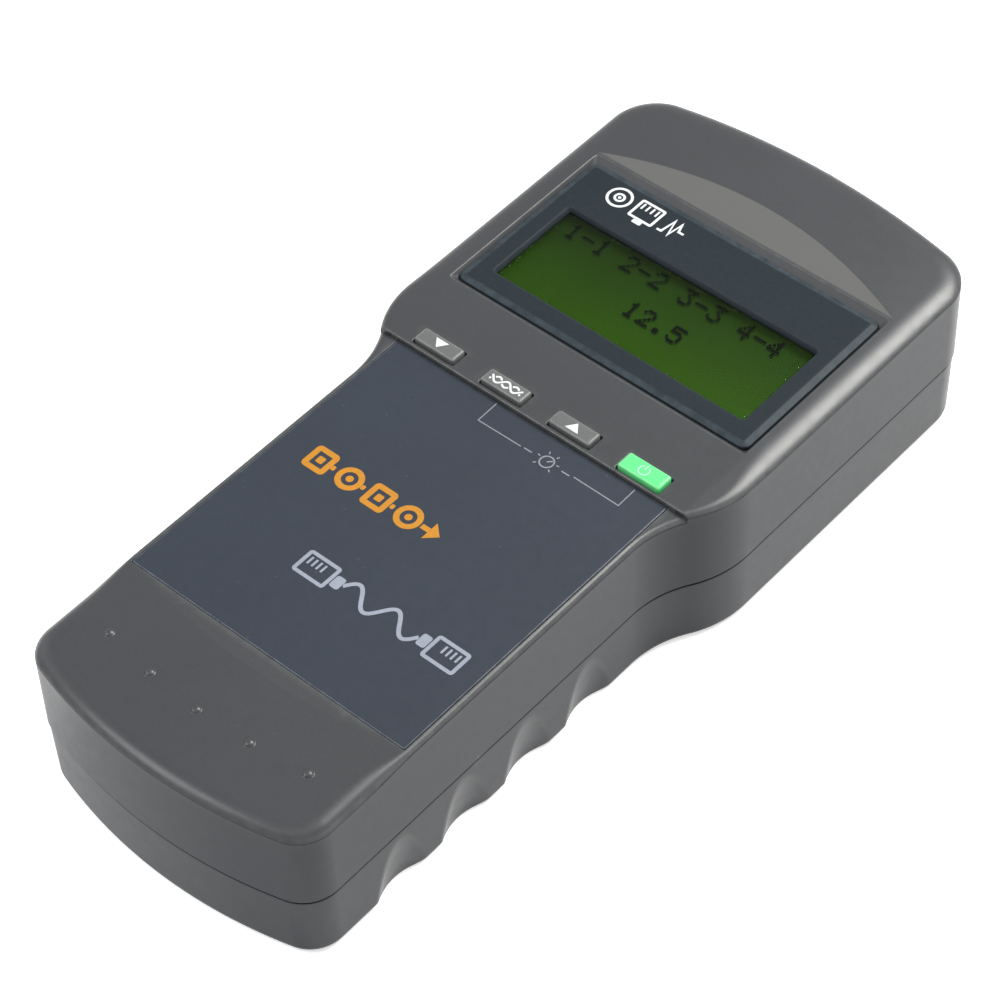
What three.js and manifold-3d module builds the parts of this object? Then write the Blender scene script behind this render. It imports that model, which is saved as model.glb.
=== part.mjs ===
// Hand-held network cable tester: a two-shell plastic case with a wide head and a narrower grip,
// a character display, four keys, two modular sockets in the head's end, and a four-cell battery bay.
// Millimetres, +Z up. The case lies on its back: the back face is z = 0, the face label looks up,
// the socket end is at +Y, and the origin is the centre of the back face's bounding box. The dimensions below
// measure y from the grip end and z from a sheet 2.2 above the back; the group at the end shifts them.
import * as THREE from "three";
import { mergeVertices } from "three/addons/utils/BufferGeometryUtils.js";
import Module from "manifold-3d";

const wasm = await Module();
wasm.setup();

// ---------------------------------------------------------------- driving dimensions
const LENGTH = 183.7; // grip end to socket end
const HEAD_HALF = 40.3; // half width of the head
const GRIP_HALF = 33.2; // half width of the grip
const GRIP_BOW = 100; // radius of the bowed grip end
const HEAD_BOW = 205; // radius of the bowed socket end
const GRIP_CORNER = 7.6; // plan radius of the grip end's corners
const HEAD_CORNER = 9.8; // plan radius of the socket end's corners
const WAIST_Y0 = 88; // the grip starts to widen
const WAIST_Y1 = 112; // the head reaches its full width
const BACK_Z = -2.2; // the flat back, below the sheet that the heights are measured from
const PARTING_Z = 12.93; // middle of the parting line
const PARTING_GAP = 0.3;
const REAR_INSET = 0.25; // the rear shell sits this much inside the front shell
const REAR_DRAFT = 0.1, END_DRAFT = 0.24; // its sides lean in this much down to the back, the ends this much more
const WALL = 2.2;
const FLOOR = BACK_Z + 2.0;
const LABEL_Z = 31.3; // face of the label
const FACE_Z = 32.2; // flat face around the keys and the display
const HEAD_CROWN_Z = 33.4; // highest line of the head
const GRIP_CROWN_Z = 32.2; // highest line of the grip's end pad
const HEAD_CROWN_2R = 1020; // twice the crown radius across the head
const GRIP_CROWN_2R = 1127; // twice the crown radius across the grip
const STEP_Y = 99.2; // step from the label up to the head's face
const LABEL_Y0 = 30.4;
const LABEL_HALF = 31.7;
const SLOPE_LOW_Y = 26.1; // top of the slope below the label, on the centreline
const SLOPE_HIGH_Y0 = 160.5; // foot of the slope above the display
const SLOPE_HIGH_Y1 = 167.8; // its top on the centreline
const GRIP_CEILING = 29.2;
const HEAD_CEILING = 30.0;
const LENS_HALF = 34.0, LENS_Y0 = 118.2, LENS_Y1 = 158.0;
const WINDOW_HALF = 29.3, WINDOW_Y0 = 123.6, WINDOW_Y1 = 145.0;
const KEY_Y = 102.1, KEY_W = 9.4, KEY_D = 3.5, KEY_TOP = 33.1;
const KEY_X = [-24.15, -8.05, 8.05, 24.15];
const BOARD_Z0 = 19.0, BOARD_Z1 = 20.6;
const PORT_X = 14, PORT_HALF = 7.95, PORT_Z0 = 5.3, PORT_Z1 = 18.7, PORT_Y0 = 162.8, PORT_Y1 = 181.8;
const CELL_R = 7.1, CELL_PITCH = 14.5, CELL_BODY = 49.2, CELL_Z = 7.9;
const BAY_HALF = 29.2, BAY_Y0 = 11.6, BAY_Y1 = 69.4, BAY_TOP = 15.9;
const DOOR_HALF = 28.9, DOOR_Y0 = 8.9, DOOR_Y1 = 71.7, DOOR_Z0 = BACK_Z + 0.15, DOOR_Z1 = BACK_Z + 2.2;
const GROOVE_Y = [26.5, 43.0, 59.5, 76.0], GROOVE_R = 11.2, GROOVE_DEPTH = 1.6, GROOVE_FADE = 9.6;
const CASE_SCREWS = [[-33, 173.5], [33, 173.5], [-26.3, 77.8], [26.3, 77.8]];
const BOARD_SCREWS = [[-24.5, 90], [24.5, 90], [-32.3, 162.6], [32.3, 162.6]];
const GAP = 0.3;

// ---------------------------------------------------------------- solids
function solid(geometry) {
  let g = geometry.index ? geometry.toNonIndexed() : geometry.clone();
  g.deleteAttribute("normal");
  g.deleteAttribute("uv");
  g = mergeVertices(g, 1e-4);
  const m = new wasm.Manifold(
    new wasm.Mesh({
      numProp: 3,
      vertProperties: new Float32Array(g.attributes.position.array),
      triVerts: new Uint32Array(g.index.array),
    }),
  );
  return m;
}
function geometryOf(m) {
  const mesh = m.getMesh();
  const n = mesh.numProp;
  const count = mesh.vertProperties.length / n;
  const pos = new Float32Array(count * 3);
  for (let i = 0; i < count; i++)
    for (let k = 0; k < 3; k++) pos[i * 3 + k] = mesh.vertProperties[i * n + k];
  const g = new THREE.BufferGeometry();
  g.setAttribute("position", new THREE.BufferAttribute(pos, 3));
  g.setIndex(new THREE.BufferAttribute(new Uint32Array(mesh.triVerts), 1));
  g.computeVertexNormals();
  return g;
}
const boxG = (x0, x1, y0, y1, z0, z1) =>
  new THREE.BoxGeometry(x1 - x0, y1 - y0, z1 - z0).translate((x0 + x1) / 2, (y0 + y1) / 2, (z0 + z1) / 2);
const box = (...a) => solid(boxG(...a));
const cylG = (x, y, z0, z1, r0, r1 = r0, seg = 18) =>
  new THREE.CylinderGeometry(r1, r0, z1 - z0, seg).rotateX(Math.PI / 2).translate(x, y, (z0 + z1) / 2);
const cyl = (...a) => solid(cylG(...a));
function prismZG(points, z0, z1) {
  const s = new THREE.Shape(points.map(([x, y]) => new THREE.Vector2(x, y)));
  return new THREE.ExtrudeGeometry(s, { depth: z1 - z0, bevelEnabled: false }).translate(0, 0, z0);
}
const prismZ = (...a) => solid(prismZG(...a));
// A prism along X whose section is given as (y, z) points.
function prismX(points, x0, x1) {
  const s = new THREE.Shape(points.map(([y, z]) => new THREE.Vector2(y, z)));
  const g = new THREE.ExtrudeGeometry(s, { depth: x1 - x0, bevelEnabled: false });
  // shape x -> +Y, shape y -> +Z, depth -> +X
  g.applyMatrix4(new THREE.Matrix4().set(0, 0, 1, x0, 1, 0, 0, 0, 0, 1, 0, 0, 0, 0, 0, 1));
  return solid(g);
}
// A four-sided block whose bottom and top rectangles differ: chamfers and tapered mouths.
function taperBox(a, z0, b, z1) {
  const v = [];
  for (const [r, z] of [[a, z0], [b, z1]])
    v.push([r[0], r[2], z], [r[1], r[2], z], [r[1], r[3], z], [r[0], r[3], z]);
  const quads = [[3, 2, 1, 0], [4, 5, 6, 7], [0, 1, 5, 4], [1, 2, 6, 5], [2, 3, 7, 6], [3, 0, 4, 7]];
  const pos = [];
  for (const q of quads) for (const i of [q[0], q[1], q[2], q[0], q[2], q[3]]) pos.push(...v[i]);
  const g = new THREE.BufferGeometry();
  g.setAttribute("position", new THREE.Float32BufferAttribute(pos, 3));
  return solid(g);
}
const union = (list) => list.reduce((a, b) => a.add(b));
function roundedRect(x0, x1, y0, y1, r, seg = 4) {
  const pts = [];
  const arc = (cx, cy, a0) => {
    for (let i = 0; i <= seg; i++) {
      const a = a0 + (i / seg) * (Math.PI / 2);
      pts.push([cx + r * Math.cos(a), cy + r * Math.sin(a)]);
    }
  };
  arc(x1 - r, y1 - r, 0);
  arc(x0 + r, y1 - r, Math.PI / 2);
  arc(x0 + r, y0 + r, Math.PI);
  arc(x1 - r, y0 + r, -Math.PI / 2);
  return pts;
}

// ---------------------------------------------------------------- case outline (right half, grip end to socket end)
const smooth = (a, b, t) => {
  const u = Math.min(1, Math.max(0, (t - a) / (b - a)));
  return u * u * (3 - 2 * u);
};
function outlineStations() {
  const st = []; // {x, y, nx, ny}: a point and its outward normal
  const push = (x, y, nx, ny) => st.push({ x, y, nx, ny });
  // grip end: bow, then corner
  const gx = GRIP_HALF - GRIP_CORNER;
  const gy = GRIP_BOW - Math.sqrt((GRIP_BOW - GRIP_CORNER) ** 2 - gx ** 2);
  const a1 = Math.asin(gx / (GRIP_BOW - GRIP_CORNER));
  for (let i = 0; i < 5; i++) {
    const a = (i / 5) * a1;
    push(GRIP_BOW * Math.sin(a), GRIP_BOW - GRIP_BOW * Math.cos(a), Math.sin(a), -Math.cos(a));
  }
  for (let i = 0; i <= 6; i++) {
    const a = a1 + (i / 6) * (Math.PI / 2 - a1);
    push(gx + GRIP_CORNER * Math.sin(a), gy - GRIP_CORNER * Math.cos(a), Math.sin(a), -Math.cos(a));
  }
  for (const y of [20, 26, 32, 60]) push(GRIP_HALF, y, 1, 0);
  // waist: two equal arcs
  const dx = HEAD_HALF - GRIP_HALF, dy = WAIST_Y1 - WAIST_Y0;
  const th = 2 * Math.atan(dx / dy), R = dy / (2 * Math.sin(th));
  for (let i = 0; i <= 5; i++) {
    const a = (i / 5) * th;
    push(GRIP_HALF + R * (1 - Math.cos(a)), WAIST_Y0 + R * Math.sin(a), Math.cos(a), -Math.sin(a));
  }
  for (let i = 4; i >= 0; i--) {
    const a = (i / 5) * th;
    push(HEAD_HALF - R * (1 - Math.cos(a)), WAIST_Y1 - R * Math.sin(a), Math.cos(a), -Math.sin(a));
  }
  for (const y of [117, 123, 145]) push(HEAD_HALF, y, 1, 0);
  // socket end: corner, then bow
  const hx = HEAD_HALF - HEAD_CORNER;
  const hc = LENGTH - HEAD_BOW;
  const hy = hc + Math.sqrt((HEAD_BOW - HEAD_CORNER) ** 2 - hx ** 2);
  const a2 = Math.asin(hx / (HEAD_BOW - HEAD_CORNER));
  for (let i = 0; i <= 6; i++) {
    const a = Math.PI / 2 - (i / 6) * (Math.PI / 2 - a2);
    push(hx + HEAD_CORNER * Math.sin(a), hy + HEAD_CORNER * Math.cos(a), Math.sin(a), Math.cos(a));
  }
  for (let i = 1; i <= 5; i++) {
    const a = a2 * (1 - i / 5);
    push(HEAD_BOW * Math.sin(a), hc + HEAD_BOW * Math.cos(a), Math.sin(a), Math.cos(a));
  }
  return st;
}
const STATIONS = outlineStations();
const inset = (s, d) => [s.x - s.nx * d, s.y - s.ny * d];
// The whole outline moved inwards by d, anticlockwise.
function outline(d) {
  const right = STATIONS.map((s) => inset(s, d));
  const left = right.slice(1, -1).reverse().map(([x, y]) => [-x, y]);
  return [...right, ...left];
}
// A closed body through rings, each {d: station -> inset, z: (x, y, station) -> height}, capped by a grid that follows capZ.
function lofted(rings, capZ, columns) {
  const n = STATIONS.length, pos = [];
  const full = rings.map((r) => {
    const right = STATIONS.map((s) => {
      const [x, y] = inset(s, r.d(s));
      return [x, y, r.z(x, y, s)];
    });
    const left = right.slice(1, -1).reverse().map(([x, y, z]) => [-x, y, z]);
    return { right, ring: [...right, ...left] };
  });
  const tri = (a, b, c) => pos.push(...a, ...b, ...c);
  for (let k = 0; k + 1 < full.length; k++) {
    const a = full[k].ring, b = full[k + 1].ring, m = a.length;
    for (let i = 0; i < m; i++) {
      const j = (i + 1) % m;
      tri(a[i], a[j], b[j]);
      tri(a[i], b[j], b[i]);
    }
  }
  const cap = (right, zf, cols, flip) => {
    const t = (a, b, c) => (flip ? tri(a, c, b) : tri(a, b, c));
    const row = (p) => {
      const out = [];
      for (let k = 0; k <= cols; k++) {
        const x = -p[0] + (2 * p[0] * k) / cols;
        const edge = k === 0 || k === cols;
        out.push([k === cols ? p[0] : x, p[1], edge ? p[2] : zf(x, p[1])]);
      }
      return out;
    };
    const rows = right.slice(1, -1).map(row);
    const first = right[0], last = right[n - 1];
    for (let k = 0; k < cols; k++) t(first, rows[0][k + 1], rows[0][k]);
    for (let j = 0; j + 1 < rows.length; j++)
      for (let k = 0; k < cols; k++) {
        t(rows[j][k], rows[j][k + 1], rows[j + 1][k + 1]);
        t(rows[j][k], rows[j + 1][k + 1], rows[j + 1][k]);
      }
    const e = rows[rows.length - 1];
    for (let k = 0; k < cols; k++) t(e[k], e[k + 1], last);
  };
  cap(full[0].right, (x, y) => full[0].right[0][2], 1, true);
  cap(full[full.length - 1].right, capZ, columns, false);
  const g = new THREE.BufferGeometry();
  g.setAttribute("position", new THREE.Float32BufferAttribute(pos, 3));
  return solid(g);
}

// ---------------------------------------------------------------- front shell
const headCrown = (x) => HEAD_CROWN_Z - (x * x) / HEAD_CROWN_2R;
const gripCrown = (x) => GRIP_CROWN_Z - (x * x) / GRIP_CROWN_2R;
const headEdgeW = (y) => 1.4 + 3.2 * smooth(100, 122, y);
const headEdgeH = (y) => 0.7 + 0.45 * smooth(100, 122, y);
const gripEdgeW = (y) => 3.4 - 2.1 * smooth(20, 32, y);
const gripEdgeH = (y) => 1.4 - 0.65 * smooth(20, 32, y);
const FRONT_Z0 = PARTING_Z + PARTING_GAP / 2;
const REAR_Z1 = PARTING_Z - PARTING_GAP / 2;
function crowned(crown, w, h) {
  const rings = [{ d: () => 0, z: () => FRONT_Z0 }];
  for (const f of [0, 0.14, 0.34, 0.62, 1])
    rings.push({ d: (s) => f * w(s.y), z: (x, y, s) => crown(x) - h(s.y) * Math.pow(1 - f, 2.2) });
  return lofted(rings, (x) => crown(x), 10);
}
let head = crowned(headCrown, headEdgeW, headEdgeH);
head = head.intersect(box(-60, 60, STEP_Y, 200, 0, 60));
head = head.subtract(
  prismX([[90, FACE_Z], [SLOPE_HIGH_Y0, FACE_Z], [SLOPE_HIGH_Y1 + 5, FACE_Z + ((HEAD_CROWN_Z - FACE_Z) * (SLOPE_HIGH_Y1 + 5 - SLOPE_HIGH_Y0)) / (SLOPE_HIGH_Y1 - SLOPE_HIGH_Y0)], [SLOPE_HIGH_Y1 + 5, 60], [90, 60]], -50, 50),
);
let grip = crowned(gripCrown, gripEdgeW, gripEdgeH);
grip = grip.intersect(box(-60, 60, -20, STEP_Y + 0.06, 0, 60));
grip = grip.subtract(
  prismX([[120, LABEL_Z], [120, 60], [SLOPE_LOW_Y - 3, 60], [SLOPE_LOW_Y - 3, LABEL_Z + ((GRIP_CROWN_Z - LABEL_Z) * (LABEL_Y0 - SLOPE_LOW_Y + 3)) / (LABEL_Y0 - SLOPE_LOW_Y)], [LABEL_Y0, LABEL_Z]], -50, 50),
);
let front = head.add(grip);
const bump = (x, y) => {
  const r = 1.3, z = gripCrown(x) + 0.5 - r;
  return solid(new THREE.SphereGeometry(r, 12, 8).rotateX(Math.PI / 2).translate(x, y, z));
};
for (const [x, y] of [[0, 13.8], [11.6, 14.5], [-11.6, 14.5], [23.2, 16.3], [-23.2, 16.3]]) front = front.add(bump(x, y));
// hollow
front = front.subtract(prismZ(outline(WALL), 5, GRIP_CEILING));
front = front.subtract(prismZ(outline(WALL), 5, HEAD_CEILING).intersect(box(-60, 60, STEP_Y - 0.3, 200, 0, 60)));
// bosses for the case screws and the board screws
const bossTop = (y) => (y > STEP_Y ? HEAD_CEILING : GRIP_CEILING) + 0.4;
for (const [x, y] of CASE_SCREWS) front = front.add(cyl(x, y, FRONT_Z0 + 0.1, bossTop(y), 3.3, 3.4));
for (const [x, y] of BOARD_SCREWS) front = front.add(cyl(x, y, BOARD_Z1 + GAP, bossTop(y), 2.7, 2.9));
for (const [x, y] of CASE_SCREWS) front = front.subtract(cyl(x, y, 5, 21.5, 1.6, 1.6, 14));
for (const [x, y] of BOARD_SCREWS) front = front.subtract(cyl(x, y, 5, 26.5, 1.45, 1.45, 14));
// label pocket, display recess with a chamfered rim, display opening
front = front.subtract(box(-LABEL_HALF - 0.25, LABEL_HALF + 0.25, LABEL_Y0 - 0.2, STEP_Y, LABEL_Z - 0.7, 60));
front = front.subtract(box(-LENS_HALF - GAP, LENS_HALF + GAP, LENS_Y0 - GAP, LENS_Y1 + GAP, 30.7, 60));
front = front.subtract(
  taperBox([-LENS_HALF - 0.2, LENS_HALF + 0.2, LENS_Y0 - 0.2, LENS_Y1 + 0.2], FACE_Z - 0.9, [-LENS_HALF - 1.5, LENS_HALF + 1.5, LENS_Y0 - 2.0, LENS_Y1 + 3.0], FACE_Z + 0.6),
);
front = front.subtract(box(-30.5, 30.5, 122.4, 146.2, 20, 40));
// key holes
KEY_X.forEach((x, i) => {
  const d = i === 3 ? 0.2 : 0;
  front = front.subtract(box(x - KEY_W / 2 - GAP, x + KEY_W / 2 + GAP, KEY_Y - KEY_D / 2 - GAP - d, KEY_Y + KEY_D / 2 + GAP + d, 20, 60));
});
// socket mouths
const portMouth = (x) => box(x - PORT_HALF - 0.35, x + PORT_HALF + 0.35, 176, 190, PORT_Z0 - 0.35, PORT_Z1 + 0.35);
for (const x of [-PORT_X, PORT_X]) front = front.subtract(portMouth(x));

// ---------------------------------------------------------------- rear shell
const rearInset = (s) => REAR_INSET + REAR_DRAFT + END_DRAFT * Math.abs(s.ny);
let rear = lofted(
  [
    { d: (s) => rearInset(s) + 1.35, z: () => BACK_Z },
    { d: (s) => rearInset(s) + 0.7, z: () => BACK_Z + 0.17 },
    { d: (s) => rearInset(s) + 0.25, z: () => BACK_Z + 0.62 },
    { d: (s) => rearInset(s), z: () => BACK_Z + 1.42 },
    { d: () => REAR_INSET, z: () => REAR_Z1 },
  ],
  () => REAR_Z1,
  1,
);
// finger grooves: leaning cylinders that bite the lower edge of both sides
const LEAN = Math.atan(GROOVE_DEPTH / GROOVE_FADE);
for (const side of [-1, 1])
  for (const y of GROOVE_Y) {
    const g = new THREE.CylinderGeometry(GROOVE_R, GROOVE_R, 40, 40).rotateX(Math.PI / 2);
    g.rotateY(side * LEAN); // the axis leans outwards as it rises
    g.translate(side * (GRIP_HALF - REAR_INSET - GROOVE_DEPTH + GROOVE_R), y, 0);
    rear = rear.subtract(solid(g));
  }
// hollow: the head and the upper grip, and a pocket inside the grip end
const inner = prismZ(outline(REAR_INSET + REAR_DRAFT + END_DRAFT + WALL), FLOOR, 40);
rear = rear.subtract(inner.intersect(box(-60, 60, 73.2, 200, -10, 60)));
rear = rear.subtract(inner.intersect(box(-60, 60, -10, BAY_Y0 - 1.7, BACK_Z + 5.2, 60)));
// battery bay: a tub that rises into the front shell
rear = rear.add(box(-BAY_HALF - 1.1, BAY_HALF + 1.1, BAY_Y0 - 1.7, BAY_Y1 + 1.7, 6, BAY_TOP + 1.2));
rear = rear.subtract(box(-BAY_HALF, BAY_HALF, BAY_Y0, BAY_Y1, BACK_Z - 1, BAY_TOP));
rear = rear.subtract(prismZ(roundedRect(-DOOR_HALF - GAP, DOOR_HALF + GAP, DOOR_Y0 - GAP, DOOR_Y1 + GAP, 1.6), BACK_Z - 1, DOOR_Z1 + GAP));
// case screw posts with counterbores
for (const [x, y] of CASE_SCREWS) rear = rear.add(cyl(x, y, BACK_Z + 0.5, REAR_Z1, 3.9, 3.9, 20));
for (const [x, y] of CASE_SCREWS) {
  rear = rear.subtract(cyl(x, y, BACK_Z - 1, BACK_Z + 3.2, 3.1, 3.1, 20));
  rear = rear.subtract(cyl(x, y, BACK_Z + 2, 20, 1.65, 1.65, 14));
}
for (const x of [-PORT_X, PORT_X]) rear = rear.subtract(portMouth(x));

// ---------------------------------------------------------------- battery door
let door = prismZ(roundedRect(-DOOR_HALF, DOOR_HALF, DOOR_Y0, DOOR_Y1, 1.5), DOOR_Z0, DOOR_Z1);
// latch tongue: a U-shaped slot at the head end, and a scooped thumb rest with three ribs
door = door.subtract(box(-9.6, -8.8, DOOR_Y1 - 12, DOOR_Y1 + 1, BACK_Z - 1, 5));
door = door.subtract(box(8.8, 9.6, DOOR_Y1 - 12, DOOR_Y1 + 1, BACK_Z - 1, 5));
door = door.subtract(taperBox([-7, 7, DOOR_Y1 - 10, DOOR_Y1 - 3], BACK_Z - 0.2, [-5.6, 5.6, DOOR_Y1 - 8.8, DOOR_Y1 - 4], DOOR_Z0 + 0.9));

// ---------------------------------------------------------------- pieces
const root = new THREE.Group();
const body = new THREE.Group();
body.position.set(0, -LENGTH / 2, -BACK_Z);
root.add(body);
const MAT = {
  case: { color: 0x5b5d5f, roughness: 0.55, metalness: 0 },
  caseRear: { color: 0x58595c, roughness: 0.6, metalness: 0 },
  label: { color: 0x48505c, roughness: 0.45, metalness: 0 },
  bezel: { color: 0x38404c, roughness: 0.3, metalness: 0 },
  window: { color: 0xd8e8d8, roughness: 0.05, metalness: 0 },
  lcd: { color: 0x3f7a12, roughness: 0.2, metalness: 0 },
  black: { color: 0x16171a, roughness: 0.5, metalness: 0 },
  blackMetal: { color: 0x202124, roughness: 0.4, metalness: 0.6 },
  diffuser: { color: 0x8fd040, roughness: 0.5, metalness: 0 },
  board: { color: 0x1d5a34, roughness: 0.45, metalness: 0 },
  key: { color: 0x787976, roughness: 0.5, metalness: 0 },
  keyPower: { color: 0x78f08c, roughness: 0.35, metalness: 0 },
  steel: { color: 0xb8bbc0, roughness: 0.3, metalness: 1 },
  brass: { color: 0xcaa64a, roughness: 0.3, metalness: 1 },
  cell: { color: 0x303a44, roughness: 0.35, metalness: 0.2 },
  red: { color: 0xb02020, roughness: 0.5, metalness: 0 },
};
function add(name, shape, mat) {
  const g = shape.isBufferGeometry ? shape : geometryOf(shape);
  const mesh = new THREE.Mesh(g, new THREE.MeshStandardMaterial(MAT[mat]));
  mesh.name = name;
  body.add(mesh);
  return mesh;
}
add("front_shell", front, "case");
add("rear_shell", rear, "caseRear");
add("battery_door", door, "caseRear");
add("face_label", boxG(-LABEL_HALF, LABEL_HALF, LABEL_Y0, STEP_Y - 0.2, LABEL_Z - 0.4, LABEL_Z), "label");

// display stack
let bezel = box(-LENS_HALF, LENS_HALF, LENS_Y0, LENS_Y1, 31.0, FACE_Z);
bezel = bezel.subtract(taperBox([-WINDOW_HALF, WINDOW_HALF, WINDOW_Y0, WINDOW_Y1], 30.5, [-WINDOW_HALF, WINDOW_HALF, WINDOW_Y0, WINDOW_Y1], 40));
bezel = bezel.subtract(taperBox([-WINDOW_HALF + 0.3, WINDOW_HALF - 0.3, WINDOW_Y0 + 0.3, WINDOW_Y1 - 0.3], FACE_Z - 0.9, [-WINDOW_HALF - 0.5, WINDOW_HALF + 0.5, WINDOW_Y0 - 0.5, WINDOW_Y1 + 0.5], FACE_Z + 0.15));
add("display_bezel", bezel, "bezel");
add("display_window", boxG(-WINDOW_HALF + GAP, WINDOW_HALF - GAP, WINDOW_Y0 + GAP, WINDOW_Y1 - GAP, 30.9, 31.5), "window");
add("lcd_glass", boxG(-30.1, 30.1, 122.8, 145.8, 28.4, 30.2), "lcd");
let lcdFrame = box(-34, 34, 118.5, 150.5, 24.5, 29.2);
lcdFrame = lcdFrame.subtract(box(-30.4, 30.4, 122.5, 146.1, 20, 40));
lcdFrame = lcdFrame.subtract(box(-33.1, 33.1, 119.4, 149.6, 20, 28.3));
add("lcd_frame", lcdFrame, "blackMetal");
add("lcd_backlight", boxG(-32.6, 32.6, 120, 149, 24.6, 27.9), "diffuser");
add("lcd_board", boxG(-35.8, 35.8, 116, 158.4, 22.6, 24.2), "board");
add("lcd_header", boxG(-20.3, 20.3, 154.2, 156.8, 20.9, 22.3), "black");

// main board
let board = prismZ([[-28, 83], [28, 83], [28, 100], [35.2, 112], [35.2, 167.2], [26, 167.2], [26, 178], [-26, 178], [-26, 167.2], [-35.2, 167.2], [-35.2, 112], [-28, 100]], BOARD_Z0, BOARD_Z1);
for (const [x, y] of BOARD_SCREWS) board = board.subtract(cyl(x, y, 10, 30, 1.5, 1.5, 14));
add("main_board", board, "board");

// keys: a chamfered cap, a retaining flange under the face, and a stem over its switch
const KEY_NAMES = ["key_down", "key_select", "key_up", "key_power"];
const SWITCH_NAMES = ["switch_down", "switch_select", "switch_up", "switch_power"];
KEY_X.forEach((x, i) => {
  const d = i === 3 ? 0.2 : 0;
  const x0 = x - KEY_W / 2, x1 = x + KEY_W / 2, y0 = KEY_Y - KEY_D / 2 - d, y1 = KEY_Y + KEY_D / 2 + d;
  let key = box(x0, x1, y0, y1, 29.0, KEY_TOP - 0.35);
  key = key.add(taperBox([x0, x1, y0, y1], KEY_TOP - 0.35, [x0 + 0.35, x1 - 0.35, y0 + 0.35, y1 - 0.35], KEY_TOP));
  key = key.add(box(x0 - 1, x1 + 1, Math.max(y0 - 1, STEP_Y + 0.1), y1 + 1, 28.4, 29.7));
  key = key.add(cyl(x, KEY_Y, 26.4, 28.6, 1.6, 1.6, 16));
  add(KEY_NAMES[i], key, i === 3 ? "keyPower" : "key");
  let sw = box(x - 3, x + 3, KEY_Y - 3, KEY_Y + 3, BOARD_Z1 + GAP, 24.4);
  sw = sw.add(cyl(x, KEY_Y, 24, 25.4, 1.75, 1.75, 16));
  add(SWITCH_NAMES[i], sw, "black");
});

// modular sockets with their eight sprung contacts
function port(x) {
  let p = box(x - PORT_HALF, x + PORT_HALF, PORT_Y0, PORT_Y1, PORT_Z0, PORT_Z1);
  p = p.subtract(box(x - 5.9, x + 5.9, PORT_Y1 - 13.5, 190, 7.9, 14.9));
  p = p.subtract(box(x - 3.05, x + 3.05, PORT_Y1 - 12, 190, 6.3, 8.2));
  return p;
}
function portContacts(x) {
  const y = PORT_Y1 - 183;
  let c = box(x - 4.3, x + 4.3, y + 169.9, y + 170.7, 9, 14.5);
  for (let i = 0; i < 8; i++) {
    const cx = x + (i - 3.5) * 1.02;
    c = c.add(prismX([[170.2, 14.0], [170.2, 13.5], [179.6, 12.9], [181.4, 13.9], [181.2, 14.3], [179.4, 13.4]].map(([a, b]) => [y + a, b]), cx - 0.2, cx + 0.2));
  }
  return c;
}
add("port_main", port(-PORT_X), "black");
add("port_loopback", port(PORT_X), "black");
add("port_main_contacts", portContacts(-PORT_X), "brass");
add("port_loopback_contacts", portContacts(PORT_X), "brass");

// battery cells in series, alternately turned, with sheet contacts and cone springs
const CELL_X = [-1.5, -0.5, 0.5, 1.5].map((k) => k * CELL_PITCH);
function cell(x, up) {
  const pts = [[0, 0], [6.2, 0], [CELL_R, 0.5], [CELL_R, CELL_BODY - 0.5], [6.3, CELL_BODY], [2.7, CELL_BODY], [2.6, CELL_BODY + 1.2], [0, CELL_BODY + 1.2]];
  const g = new THREE.LatheGeometry(pts.map(([r, h]) => new THREE.Vector2(r, h)), 24);
  if (!up) g.rotateZ(Math.PI);
  return g.translate(x, up ? 17.9 : 63.1, CELL_Z);
}
CELL_X.forEach((x, i) => add("battery_cell_" + (i + 1), geometryOf(solid(cell(x, i % 2 === 0))), "cell"));
class Cone extends THREE.Curve {
  constructor(x, y0, y1) { super(); this.x = x; this.y0 = y0; this.y1 = y1; }
  getPoint(t, out = new THREE.Vector3()) {
    const a = t * 3.25 * 2 * Math.PI, r = 3.6 - 1.3 * t;
    return out.set(this.x + r * Math.cos(a), this.y0 + (this.y1 - this.y0) * t, CELL_Z + r * Math.sin(a));
  }
}
function spring(x, y0, y1) {
  const s = new THREE.Shape();
  for (let i = 0; i < 6; i++) {
    const a = (i / 6) * 2 * Math.PI, px = 0.36 * Math.cos(a), py = 0.36 * Math.sin(a);
    i ? s.lineTo(px, py) : s.moveTo(px, py);
  }
  s.closePath();
  return solid(new THREE.ExtrudeGeometry(s, { steps: 42, bevelEnabled: false, extrudePath: new Cone(x, y0, y1) }));
}
const plate = (x0, x1, y) => box(x0, x1, y, y + 0.5, CELL_Z - 5.5, CELL_Z + 6.3);
const yb = BAY_Y0 + GAP, yt = BAY_Y1 - GAP - 0.5; // plate planes at the grip end and the head end
add("contact_negative", plate(-28, -15.6, yb).add(spring(CELL_X[0], yb + 0.45, 17.2)), "steel");
add("contact_link_1", plate(-28, -1, yt).add(spring(CELL_X[1], yt + 0.05, 63.8)), "steel");
add("contact_link_2", plate(-13.2, 13.2, yb).add(spring(CELL_X[2], yb + 0.45, 17.2)), "steel");
add("contact_link_3", plate(1, 28, yt).add(spring(CELL_X[3], yt + 0.05, 63.8)), "steel");
add("contact_positive", plate(15.6, 28, yb), "steel");

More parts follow.
